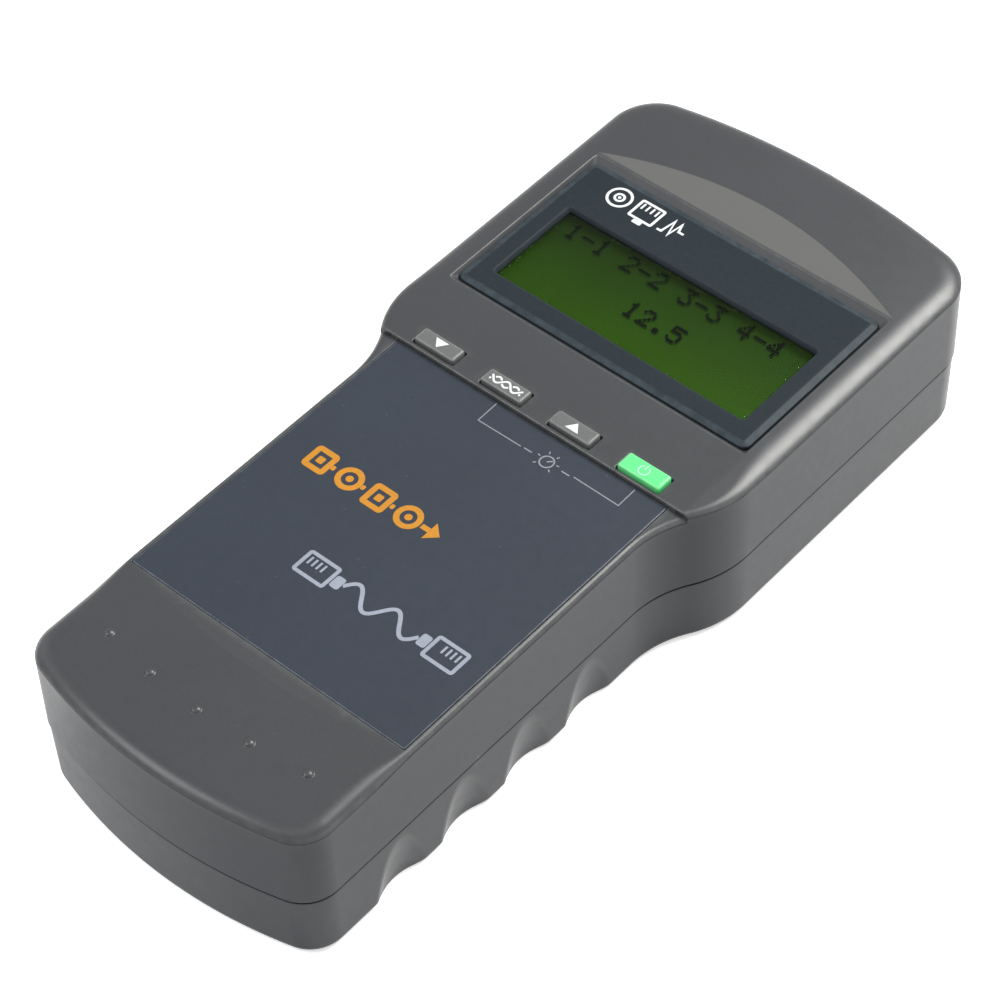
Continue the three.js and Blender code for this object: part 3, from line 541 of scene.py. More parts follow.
def moulded(name, rgb, rough, blotch=0.10, grain=2600.0, bump=0.25, wear_and_highlight=0.35, wear_and_highlight_rgb=None, speck=0.0, spec=0.5, coat=0.0, metal=0.0, depth=0.000012, painted_sheen_rgb=None, cavity=False):
    """Moulded plastic: fine spark-eroded grain, slow blotchy colour variation, lighter edges that are partly scuffing
    and partly a painted highlight, faint handling marks; optionally a painted sheen patch, and painted near-black shade
    in the parting-line gap.
    """
    m, nt, bsdf, out = nodes_of(name)
    N, L = nt.nodes, nt.links
    co = N.new("ShaderNodeTexCoord")
    big = N.new("ShaderNodeTexNoise"); big.inputs["Scale"].default_value = 38; big.inputs["Detail"].default_value = 4
    fine = N.new("ShaderNodeTexNoise"); fine.inputs["Scale"].default_value = grain; fine.inputs["Detail"].default_value = 3; fine.inputs["Roughness"].default_value = 0.6
    mid = N.new("ShaderNodeTexNoise"); mid.inputs["Scale"].default_value = 420; mid.inputs["Detail"].default_value = 5; mid.inputs["Roughness"].default_value = 0.65
    for n in (big, fine, mid):
        L.new(co.outputs["Object"], n.inputs["Vector"])
    base = srgb(*rgb)
    dark = tuple(c * (1 - blotch) for c in base[:3]) + (1,)
    light = tuple(min(1, c * (1 + blotch)) for c in base[:3]) + (1,)
    ramp = N.new("ShaderNodeValToRGB")
    ramp.color_ramp.elements[0].position, ramp.color_ramp.elements[1].position = 0.3, 0.72
    ramp.color_ramp.elements[0].color, ramp.color_ramp.elements[1].color = dark, light
    L.new(big.outputs["Fac"], ramp.inputs["Fac"])
    grainmix = N.new("ShaderNodeMix"); grainmix.data_type = "RGBA"; grainmix.blend_type = "MULTIPLY"; grainmix.inputs[0].default_value = 0.35
    gr = N.new("ShaderNodeValToRGB")
    gr.color_ramp.elements[0].position, gr.color_ramp.elements[1].position = 0.35, 0.62
    gr.color_ramp.elements[0].color, gr.color_ramp.elements[1].color = (0.72, 0.72, 0.72, 1), (1, 1, 1, 1)
    L.new(fine.outputs["Fac"], gr.inputs["Fac"])
    L.new(ramp.outputs["Color"], grainmix.inputs[6]); L.new(gr.outputs["Color"], grainmix.inputs[7])
    col = grainmix.outputs[2]
    # lighter edges from the per-vertex attribute: scuffing broken up by noise, and along rolled edges a painted
    # highlight
    if wear_and_highlight > 0:
        at = N.new("ShaderNodeAttribute"); at.attribute_name = "wear_and_highlight"
        wm = N.new("ShaderNodeMath"); wm.operation = "MULTIPLY"; wm.inputs[1].default_value = wear_and_highlight
        L.new(at.outputs["Fac"], wm.inputs[0])
        wn = N.new("ShaderNodeMath"); wn.operation = "MULTIPLY"
        wr = N.new("ShaderNodeMapRange"); wr.inputs[1].default_value, wr.inputs[2].default_value, wr.inputs[3].default_value, wr.inputs[4].default_value = 0.35, 0.65, 0.3, 1.0
        L.new(mid.outputs["Fac"], wr.inputs[0]); L.new(wm.outputs[0], wn.inputs[0]); L.new(wr.outputs[0], wn.inputs[1])
        mx = N.new("ShaderNodeMix"); mx.data_type = "RGBA"
        L.new(wn.outputs[0], mx.inputs[0]); L.new(col, mx.inputs[6])
        mx.inputs[7].default_value = srgb(*(wear_and_highlight_rgb or tuple(min(255, c + 45) for c in rgb)))
        col = mx.outputs[2]
    if speck > 0:
        vo = N.new("ShaderNodeTexVoronoi"); vo.inputs["Scale"].default_value = 260
        L.new(co.outputs["Object"], vo.inputs["Vector"])
        sr = N.new("ShaderNodeMapRange"); sr.inputs[1].default_value, sr.inputs[2].default_value, sr.inputs[3].default_value, sr.inputs[4].default_value = 0.02, 0.07, speck, 0.0
        L.new(vo.outputs["Distance"], sr.inputs[0])
        sm = N.new("ShaderNodeMix"); sm.data_type = "RGBA"; L.new(sr.outputs[0], sm.inputs[0]); L.new(col, sm.inputs[6])
        sm.inputs[7].default_value = srgb(*tuple(min(255, c + 60) for c in rgb))
        col = sm.outputs[2]
    # a painted sheen (a lighter patch standing in for a lamp's reflection), and painted shade: near black inside the
    # parting-line gap, where light does not reach
    for attr, rgb2 in (("tone", painted_sheen_rgb), ("cavity", (9, 9, 10) if cavity else None)):
        if rgb2:
            at2 = N.new("ShaderNodeAttribute"); at2.attribute_name = attr
            m2 = N.new("ShaderNodeMix"); m2.data_type = "RGBA"
            L.new(at2.outputs["Fac"], m2.inputs[0]); L.new(col, m2.inputs[6]); m2.inputs[7].default_value = srgb(*rgb2)
            col = m2.outputs[2]
    L.new(col, bsdf.inputs["Base Color"])
    rr = N.new("ShaderNodeMapRange"); rr.inputs[1].default_value, rr.inputs[2].default_value = 0.3, 0.7
    rr.inputs[3].default_value, rr.inputs[4].default_value = max(0.02, rough - 0.025), min(1, rough + 0.03)
    L.new(mid.outputs["Fac"], rr.inputs[0]); L.new(rr.outputs[0], bsdf.inputs["Roughness"])
    if bump > 0:
        bp = N.new("ShaderNodeBump"); bp.inputs["Strength"].default_value = bump; bp.inputs["Distance"].default_value = depth
        L.new(fine.outputs["Fac"], bp.inputs["Height"]); L.new(bp.outputs["Normal"], bsdf.inputs["Normal"])
    bsdf.inputs["Specular IOR Level"].default_value = spec
    bsdf.inputs["Coat Weight"].default_value = coat
    bsdf.inputs["Metallic"].default_value = metal
    return m


def brushed(name, rgb, rough, scale=(60, 1600, 60), var=0.12, metal=1.0):
    """Drawn or rolled metal: fine streaks in one direction, small stains."""
    m, nt, bsdf, out = nodes_of(name)
    N, L = nt.nodes, nt.links
    co = N.new("ShaderNodeTexCoord"); mp = N.new("ShaderNodeMapping"); mp.inputs["Scale"].default_value = scale
    n1 = N.new("ShaderNodeTexNoise"); n1.inputs["Scale"].default_value = 1.0; n1.inputs["Detail"].default_value = 4
    n2 = N.new("ShaderNodeTexNoise"); n2.inputs["Scale"].default_value = 300; n2.inputs["Detail"].default_value = 4
    L.new(co.outputs["Object"], mp.inputs["Vector"]); L.new(mp.outputs[0], n1.inputs["Vector"]); L.new(co.outputs["Object"], n2.inputs["Vector"])
    ramp = N.new("ShaderNodeValToRGB"); b = srgb(*rgb)
    ramp.color_ramp.elements[0].position, ramp.color_ramp.elements[1].position = 0.3, 0.7
    ramp.color_ramp.elements[0].color = tuple(c * (1 - var) for c in b[:3]) + (1,)
    ramp.color_ramp.elements[1].color = tuple(min(1, c * (1 + var)) for c in b[:3]) + (1,)
    L.new(n1.outputs["Fac"], ramp.inputs["Fac"]); L.new(ramp.outputs["Color"], bsdf.inputs["Base Color"])
    rr = N.new("ShaderNodeMapRange"); rr.inputs[1].default_value, rr.inputs[2].default_value = 0.3, 0.7
    rr.inputs[3].default_value, rr.inputs[4].default_value = max(0.02, rough - 0.07), rough + 0.12
    L.new(n2.outputs["Fac"], rr.inputs[0]); L.new(rr.outputs[0], bsdf.inputs["Roughness"])
    bp = N.new("ShaderNodeBump"); bp.inputs["Strength"].default_value = 0.15; bp.inputs["Distance"].default_value = 0.00001
    L.new(n1.outputs["Fac"], bp.inputs["Height"]); L.new(bp.outputs["Normal"], bsdf.inputs["Normal"])
    bsdf.inputs["Metallic"].default_value = metal
    return m


def circuit_board(name):
    """Green solder mask over copper tracks, with tinned pads."""
    m, nt, bsdf, out = nodes_of(name)
    N, L = nt.nodes, nt.links
    co = N.new("ShaderNodeTexCoord")
    br = N.new("ShaderNodeTexBrick"); br.inputs["Scale"].default_value = 190; br.inputs["Mortar Size"].default_value = 0.012
    br.inputs["Color1"].default_value, br.inputs["Color2"].default_value, br.inputs["Mortar"].default_value = srgb(26, 92, 50), srgb(22, 84, 44), srgb(60, 130, 70)
    vo = N.new("ShaderNodeTexVoronoi"); vo.inputs["Scale"].default_value = 300
    L.new(co.outputs["Object"], br.inputs["Vector"]); L.new(co.outputs["Object"], vo.inputs["Vector"])
    mr = N.new("ShaderNodeMapRange"); mr.inputs[1].default_value, mr.inputs[2].default_value, mr.inputs[3].default_value, mr.inputs[4].default_value = 0.12, 0.16, 1, 0
    L.new(vo.outputs["Distance"], mr.inputs[0])
    mx = N.new("ShaderNodeMix"); mx.data_type = "RGBA"; L.new(mr.outputs[0], mx.inputs[0]); L.new(br.outputs["Color"], mx.inputs[6]); mx.inputs[7].default_value = srgb(190, 185, 170)
    L.new(mx.outputs[2], bsdf.inputs["Base Color"])
    no = N.new("ShaderNodeTexNoise"); no.inputs["Scale"].default_value = 500
    L.new(co.outputs["Object"], no.inputs["Vector"])
    rr = N.new("ShaderNodeMapRange"); rr.inputs[3].default_value, rr.inputs[4].default_value = 0.3, 0.5
    L.new(no.outputs["Fac"], rr.inputs[0]); L.new(rr.outputs[0], bsdf.inputs["Roughness"])
    return m


def ink(name, rgb, rough=0.5):
    """Screen-printed ink: a little uneven in tone and cover."""
    return moulded(name, rgb, rough, blotch=0.06, grain=1500, bump=0.1, wear_and_highlight=0, depth=0.000006)


# One case plastic in lit and shaded copies: the front shell's face lighter, its walls and the rear shell darker, as
# painted light and shade; the face copy also takes a painted sheen colour, the darker copies the painted near-black
# joint shade
M_FRONT_LIT = moulded("case_front_plastic_lit", (58, 60, 63), 0.33, blotch=0.04, wear_and_highlight=0.5, wear_and_highlight_rgb=(110, 110, 107), speck=0.10, spec=0.45, painted_sheen_rgb=(88, 88, 87))
M_WALL_SHADED = moulded("case_wall_plastic_shaded", (35, 38, 43), 0.33, blotch=0.04, wear_and_highlight=0.5, wear_and_highlight_rgb=(104, 104, 101), speck=0.10, spec=0.2, cavity=True)
M_REAR = moulded("case_rear_plastic", (35, 38, 43), 0.33, blotch=0.04, wear_and_highlight=0.4, wear_and_highlight_rgb=(96, 96, 93), speck=0.08, spec=0.22, cavity=True)
M_DOOR = moulded("door_plastic", (46, 49, 52), 0.36, blotch=0.04, wear_and_highlight=0.4, spec=0.3)
M_LABEL = moulded("label_film", (40, 47, 58), 0.38, blotch=0.05, grain=1900, bump=0.12, wear_and_highlight=0.5, wear_and_highlight_rgb=(104, 112, 124), speck=0.22, depth=0.000008)
M_BEZEL = moulded("bezel_acrylic", (35, 42, 47), 0.48, blotch=0.05, grain=900, bump=0.03, wear_and_highlight=0.6, wear_and_highlight_rgb=(68, 78, 84), speck=0.10, depth=0.000004, spec=0.12)
M_KEY = moulded("key_grey_plastic", (92, 94, 94), 0.40, blotch=0.05, wear_and_highlight=0.4, wear_and_highlight_rgb=(168, 168, 164))
M_KEYG = moulded("key_green_plastic", (92, 214, 126), 0.34, blotch=0.04, bump=0.12, wear_and_highlight=0.3, wear_and_highlight_rgb=(190, 255, 215))
M_BLACK = moulded("black_plastic_part", (26, 27, 30), 0.42, blotch=0.12, wear_and_highlight=0)
M_SOCKET = moulded("socket_plastic_part", (24, 25, 28), 0.38, blotch=0.12, wear_and_highlight=0.3, wear_and_highlight_rgb=(60, 62, 66))
M_JACKET = moulded("cell_jacket_foil", (40, 46, 54), 0.26, blotch=0.08, grain=600, bump=0.05, wear_and_highlight=0.0, metal=0.35)
M_JACKET2 = moulded("cell_jacket_band", (150, 104, 58), 0.26, blotch=0.08, grain=600, bump=0.05, wear_and_highlight=0.0, metal=0.6)
M_STEEL = brushed("plated_steel", (196, 198, 202), 0.26)
M_GOLD = brushed("gold_plating", (226, 184, 96), 0.24)
M_CAN = brushed("dark_plated_frame", (60, 61, 66), 0.36)
M_BOARD = circuit_board("solder_masked_board")
M_LEAD_R = moulded("lead_insulation_red", (170, 34, 32), 0.4, wear_and_highlight=0)
M_LEAD_K = moulded("lead_insulation_black", (30, 30, 32), 0.4, wear_and_highlight=0)
M_SLEEVE = moulded("capacitor_sleeve_film", (34, 40, 66), 0.3, wear_and_highlight=0)
M_DIFF = moulded("light_guide_acrylic", (150, 205, 90), 0.35, wear_and_highlight=0, blotch=0.04)
I_WHITE = ink("ink_white", (208, 211, 213))
I_ORANGE = ink("ink_orange", (180, 120, 16))
I_GREY = ink("ink_grey", (134, 141, 154))
I_BRACKET = ink("ink_line_grey", (122, 128, 136))
I_MINT = ink("ink_mint", (164, 238, 190))


def lcd_material():
    """Super-twist LCD over its green light, with painted shade: darker along the top and left, where the bezel's edge
    shades it, brighter to the lower right; faint grid of unlit dots.
    """
    m, nt, bsdf, out = nodes_of("lcd_green_panel")
    N, L = nt.nodes, nt.links
    co = N.new("ShaderNodeTexCoord"); sep = N.new("ShaderNodeSeparateXYZ"); L.new(co.outputs["Object"], sep.inputs[0])
    # painted shade: the colour darkens towards the top and the left edge, as under the bezel's shadow
    gy = N.new("ShaderNodeMapRange"); gy.inputs[1].default_value, gy.inputs[2].default_value, gy.inputs[3].default_value, gy.inputs[4].default_value = 0.054, 0.030, 0.0, 0.75
    gx = N.new("ShaderNodeMapRange"); gx.inputs[1].default_value, gx.inputs[2].default_value, gx.inputs[3].default_value, gx.inputs[4].default_value = -0.03, 0.03, 0.0, 0.25
    L.new(sep.outputs["Y"], gy.inputs[0]); L.new(sep.outputs["X"], gx.inputs[0])
    ad = N.new("ShaderNodeMath"); ad.operation = "ADD"; L.new(gy.outputs[0], ad.inputs[0]); L.new(gx.outputs[0], ad.inputs[1])
    no = N.new("ShaderNodeTexNoise"); no.inputs["Scale"].default_value = 90; L.new(co.outputs["Object"], no.inputs["Vector"])
    nm = N.new("ShaderNodeMath"); nm.operation = "MULTIPLY_ADD"; nm.inputs[1].default_value, nm.inputs[2].default_value = 0.16, -0.08
    L.new(no.outputs["Fac"], nm.inputs[0])
    a2 = N.new("ShaderNodeMath"); a2.operation = "ADD"; L.new(ad.outputs[0], a2.inputs[0]); L.new(nm.outputs[0], a2.inputs[1])
    ramp = N.new("ShaderNodeValToRGB")
    ramp.color_ramp.elements[0].color, ramp.color_ramp.elements[1].color = srgb(18, 31, 4), srgb(38, 66, 2)
    L.new(a2.outputs[0], ramp.inputs["Fac"])
    mp = N.new("ShaderNodeMapping"); mp.inputs["Scale"].default_value = (1720, 1600, 1)
    L.new(co.outputs["Object"], mp.inputs["Vector"])
    ck = N.new("ShaderNodeTexBrick"); ck.offset = 0.0; ck.inputs["Scale"].default_value = 1.0; ck.inputs["Brick Width"].default_value = 1.0; ck.inputs["Row Height"].default_value = 1.0
    ck.inputs["Mortar Size"].default_value = 0.07; ck.inputs["Mortar Smooth"].default_value = 0.3
    ck.inputs["Color1"].default_value = ck.inputs["Color2"].default_value = (0.86, 0.86, 0.86, 1); ck.inputs["Mortar"].default_value = (1, 1, 1, 1)
    L.new(mp.outputs[0], ck.inputs["Vector"])
    mx = N.new("ShaderNodeMix"); mx.data_type = "RGBA"; mx.blend_type = "MULTIPLY"; mx.inputs[0].default_value = 0.6
    L.new(ramp.outputs["Color"], mx.inputs[6]); L.new(ck.outputs["Color"], mx.inputs[7])
    L.new(mx.outputs[2], bsdf.inputs["Base Color"]); L.new(mx.outputs[2], bsdf.inputs["Emission Color"])
    bsdf.inputs["Emission Strength"].default_value = 0.48
    bsdf.inputs["Roughness"].default_value = 0.35
    bsdf.inputs["Specular IOR Level"].default_value = 0.05
    return m


def window_material():
    """Clear cover: what is behind shows through, with a sheen that grows at grazing angles and fine wiping marks."""
    m, nt, bsdf, out = nodes_of("window_clear")
    N, L = nt.nodes, nt.links
    tr = N.new("ShaderNodeBsdfTransparent"); tr.inputs[0].default_value = (0.93, 0.97, 0.93, 1)
    lw = N.new("ShaderNodeLayerWeight"); lw.inputs["Blend"].default_value = 0.5
    pw = N.new("ShaderNodeMath"); pw.operation = "POWER"; pw.inputs[1].default_value = 5.0
    ma = N.new("ShaderNodeMath"); ma.operation = "MULTIPLY_ADD"; ma.inputs[1].default_value, ma.inputs[2].default_value = 0.9, 0.007
    L.new(lw.outputs["Facing"], pw.inputs[0]); L.new(pw.outputs[0], ma.inputs[0])
    mx = N.new("ShaderNodeMixShader")
    L.new(ma.outputs[0], mx.inputs[0]); L.new(tr.outputs[0], mx.inputs[1]); L.new(bsdf.outputs[0], mx.inputs[2]); L.new(mx.outputs[0], out.inputs["Surface"])
    co = N.new("ShaderNodeTexCoord"); no = N.new("ShaderNodeTexNoise"); no.inputs["Scale"].default_value = 120; no.inputs["Detail"].default_value = 6
    L.new(co.outputs["Object"], no.inputs["Vector"])
    rr = N.new("ShaderNodeMapRange"); rr.inputs[3].default_value, rr.inputs[4].default_value = 0.04, 0.10
    L.new(no.outputs["Fac"], rr.inputs[0]); L.new(rr.outputs[0], bsdf.inputs["Roughness"])
    rp = N.new("ShaderNodeValToRGB"); rp.color_ramp.elements[0].color, rp.color_ramp.elements[1].color = (0.84, 0.86, 0.84, 1), (0.93, 0.95, 0.93, 1)
    L.new(no.outputs["Fac"], rp.inputs["Fac"]); L.new(rp.outputs["Color"], bsdf.inputs["Base Color"])
    bsdf.inputs["Metallic"].default_value = 1.0
    return m


M_LCD = lcd_material()
M_WINDOW = window_material()
M_DOTS = moulded("lcd_dot_dark", (6, 12, 3), 0.5, wear_and_highlight=0, blotch=0.1, spec=0.03)
# painted shadow of the characters on the reflector: a dark-green copy of the dots
M_DOT_SHADOW = moulded("lcd_dot_painted_shadow", (22, 42, 6), 0.5, wear_and_highlight=0, blotch=0.1, spec=0.03)


# ------------------------------------------------------------------ front shell
def build_front():
    pts, segs = plan_lines()
    V, T = triangulate(pts, segs, OUT[:, :2])
    Z, near = front_height(V[:, 0], V[:, 1])
    rim = rim_of(T)
    verts = [(float(a), float(b), float(c)) for a, b, c in zip(V[:, 0], V[:, 1], Z[0])]
    faces = T.tolist()
    R = np.array([verts[i] for i in rim])
    d, nx, ny, _ = nearest(R[:, 0], R[:, 1])
    # walls down to the parting line, with a small rolled edge there
    prev = rim
    levels = [0.12, 0.25, 0.38, 0.52, 0.66, 0.8, 0.92]
    rows = [(0.0, t, None) for t in levels] + [(0.0, None, 0.34), (0.02, None, 0.26), (0.08, None, 0.2), (0.2, None, 0.18), (0.34, None, 0.18)]
    n = len(rim)
    for off, t, up in rows:
        base = len(verts)
        for k in range(n):
            z = R[k, 2] + (FRONT_Z0 + 0.34 - R[k, 2]) * t if t is not None else FRONT_Z0 + up
            verts.append((R[k, 0] - nx[k] * off, R[k, 1] - ny[k] * off, z))
        cur = list(range(base, base + n))
        for k in range(n):
            j = (k + 1) % n
            faces.append((prev[k], cur[k], cur[j], prev[j]))
        prev = cur
    faces.append(tuple(prev[::-1]))
    ob = make("front_shell_skin", verts, faces)
    # hollow, in the same steps as the moulding
    boolean(ob, outline_prism("c", WALL, 5, GRIP_CEILING))
    boolean(ob, outline_prism("c", WALL, 5, HEAD_CEILING, STEP_Y - 0.3, 230))
    boolean(ob, ring_wall("c", 1.6, WALL + 0.2, 12, 14.6))
    for i in range(4):
        r = key_hole(i, 0.004)
        boolean(ob, prism("c", rrect(*r, 0.354, 5), 20, 60))
    boolean(ob, prism("c", rrect(-30.5, 30.5, 122.4, 146.2, 0.5, 4), 20, 40))
    for x in (-PORT_X, PORT_X):
        boolean(ob, mouth(x))
    return ob


def finish_front(ob):
    """Exact surface normals on the front face and the walls; the face and the wall faces put on the lighter and darker
    copies of the plastic (painted light and shade); lighter edges that are partly scuffed and partly a painted
    highlight; a painted sheen above the display; painted shade in the joint gap.
    """
    me = ob.data
    nv = len(me.vertices)
    co = np.empty(nv * 3); me.vertices.foreach_get("co", co); co = co.reshape(-1, 3)
    Z, near = front_height(co[:, 0], co[:, 1])
    d, nx, ny, _ = near
    top = np.column_stack([-Z[1], -Z[2], np.ones(nv)])
    top /= np.linalg.norm(top, axis=1)[:, None]
    on_top = np.abs(co[:, 2] - Z[0]) < 4e-3
    wall = np.column_stack([nx, ny, np.zeros(nv)])
    on_wall = (np.abs(d) < 3e-3) & (co[:, 2] > FRONT_Z0 + 0.28)
    npoly = len(me.polygons)
    fn = np.empty(npoly * 3); me.polygons.foreach_get("normal", fn); fn = fn.reshape(-1, 3)
    nl = len(me.loops)
    lv = np.empty(nl, int); me.loops.foreach_get("vertex_index", lv)
    tot = np.empty(npoly, int); me.polygons.foreach_get("loop_total", tot)
    lf = np.repeat(np.arange(npoly), tot)
    N = fn[lf].copy()
    best = np.full(nl, 0.72)
    for cand, ok in ((top, on_top), (wall, on_wall)):
        dot = (cand[lv] * fn[lf]).sum(1)
        use = ok[lv] & (dot > best)
        N[use] = cand[lv][use]
        best[use] = dot[use]
    for p in me.polygons:
        p.use_smooth = True
    me.normals_split_custom_set([tuple(v) for v in N])
    cen = np.empty(npoly * 3); me.polygons.foreach_get("center", cen); cen = cen.reshape(-1, 3)
    # painted light and shade: walls and low faces get the darker copy of the plastic, the face the lighter copy
    side = ((np.abs(fn[:, 2]) < 0.5) | (cen[:, 2] < 20)) & (nearest(cen[:, 0], cen[:, 1])[0] < 2.6)
    me.polygons.foreach_set("material_index", side.astype(np.int32))
    x, y = co[:, 0], co[:, 1]
    # lighter bands along the top edge, the step, the label pocket, the display recess and the key holes: partly
    # scuffing, partly painted highlight
    w = 0.55 * np.exp(-((d - 0.4) / 0.34) ** 2) * (co[:, 2] > 28) * on_top
    w = np.maximum(w, 1.0 * np.exp(-((y - STEP_Y - 0.12) / 0.2) ** 2) * (co[:, 2] > 31.6))
    rd = rect_dist(x, y, *POCKET)[0]
    w = np.maximum(w, 0.6 * np.exp(-((rd - 0.08) / 0.14) ** 2) * (y < STEP_Y) * (co[:, 2] > 31))
    rl = rect_dist(x, y, -34.98, 34.98, 116.92, 159.88, 1.0)[0]
    w = np.maximum(w, 0.8 * np.exp(-(rl / 0.16) ** 2) * (co[:, 2] > 31.5))
    for i in range(4):
        rk = rect_dist(x, y, *key_hole(i), 0.35)[0]
        w = np.maximum(w, 0.8 * np.exp(-((rk - 0.06) / 0.12) ** 2) * (co[:, 2] > 31.5))
    # a knock on the right-hand parting line
    w = np.maximum(w, 0.9 * np.exp(-((y - 46.6) / 0.5) ** 2 - ((co[:, 2] - 13.2) / 0.8) ** 2) * (x > 30))
    at = me.attributes.new("wear_and_highlight", "FLOAT", "POINT")
    at.data.foreach_set("value", w.astype(np.float32))
    # painted sheen: the slope above the display, where it rises over the face, is tinted lighter, standing in for a
    # lamp's reflection
    rise = (HEAD_CROWN_Z - FACE_Z) / (SLOPE_HIGH_Y1 - SLOPE_HIGH_Y0)
    under = HEAD_CROWN_Z - x * x / HEAD_CROWN_2R - (FACE_Z + rise * (y - SLOPE_HIGH_Y0))
    tone = np.clip(under / 0.03, 0, 1) * np.clip((y - SLOPE_HIGH_Y0 + 0.3) / 0.4, 0, 1) * (co[:, 2] > 31.8)
    at = me.attributes.new("tone", "FLOAT", "POINT")
    at.data.foreach_set("value", tone.astype(np.float32))
    # painted shade: the inside of the parting-line gap, below the rolled edge, is mixed to near black
    joint_shade = np.clip((d - 0.06) / 0.1, 0, 1) * (co[:, 2] < FRONT_Z0 + 0.24) * (co[:, 2] > FRONT_Z0 - 1) * (d < WALL + 0.5)
    at = me.attributes.new("cavity", "FLOAT", "POINT")
    at.data.foreach_set("value", joint_shade.astype(np.float32))


front = build_front()
finish_front(front)
put(front, "case", [M_FRONT_LIT, M_WALL_SHADED], ["front_shell"], smooth=False)


# ------------------------------------------------------------------ rear shell
def groove_edge(x, y, z):
    """How far out the side may be at (y, z) because of the finger grooves, from the centre plane."""
    lean = math.atan(GROOVE_DEPTH / GROOVE_FADE)
    c = GRIP_HALF - REAR_INSET - GROOVE_DEPTH + GROOVE_R + z * math.tan(lean)
    lim = np.full(np.shape(y), 1e3)
    for gy in GROOVE_Y:
        t = (y - gy) / GROOVE_R
        e = c - GROOVE_R / math.cos(lean) * np.sqrt(np.maximum(1 - t * t, 0.0))
        lim = np.minimum(lim, np.where(np.abs(t) < 1, e, 1e3))
    return lim


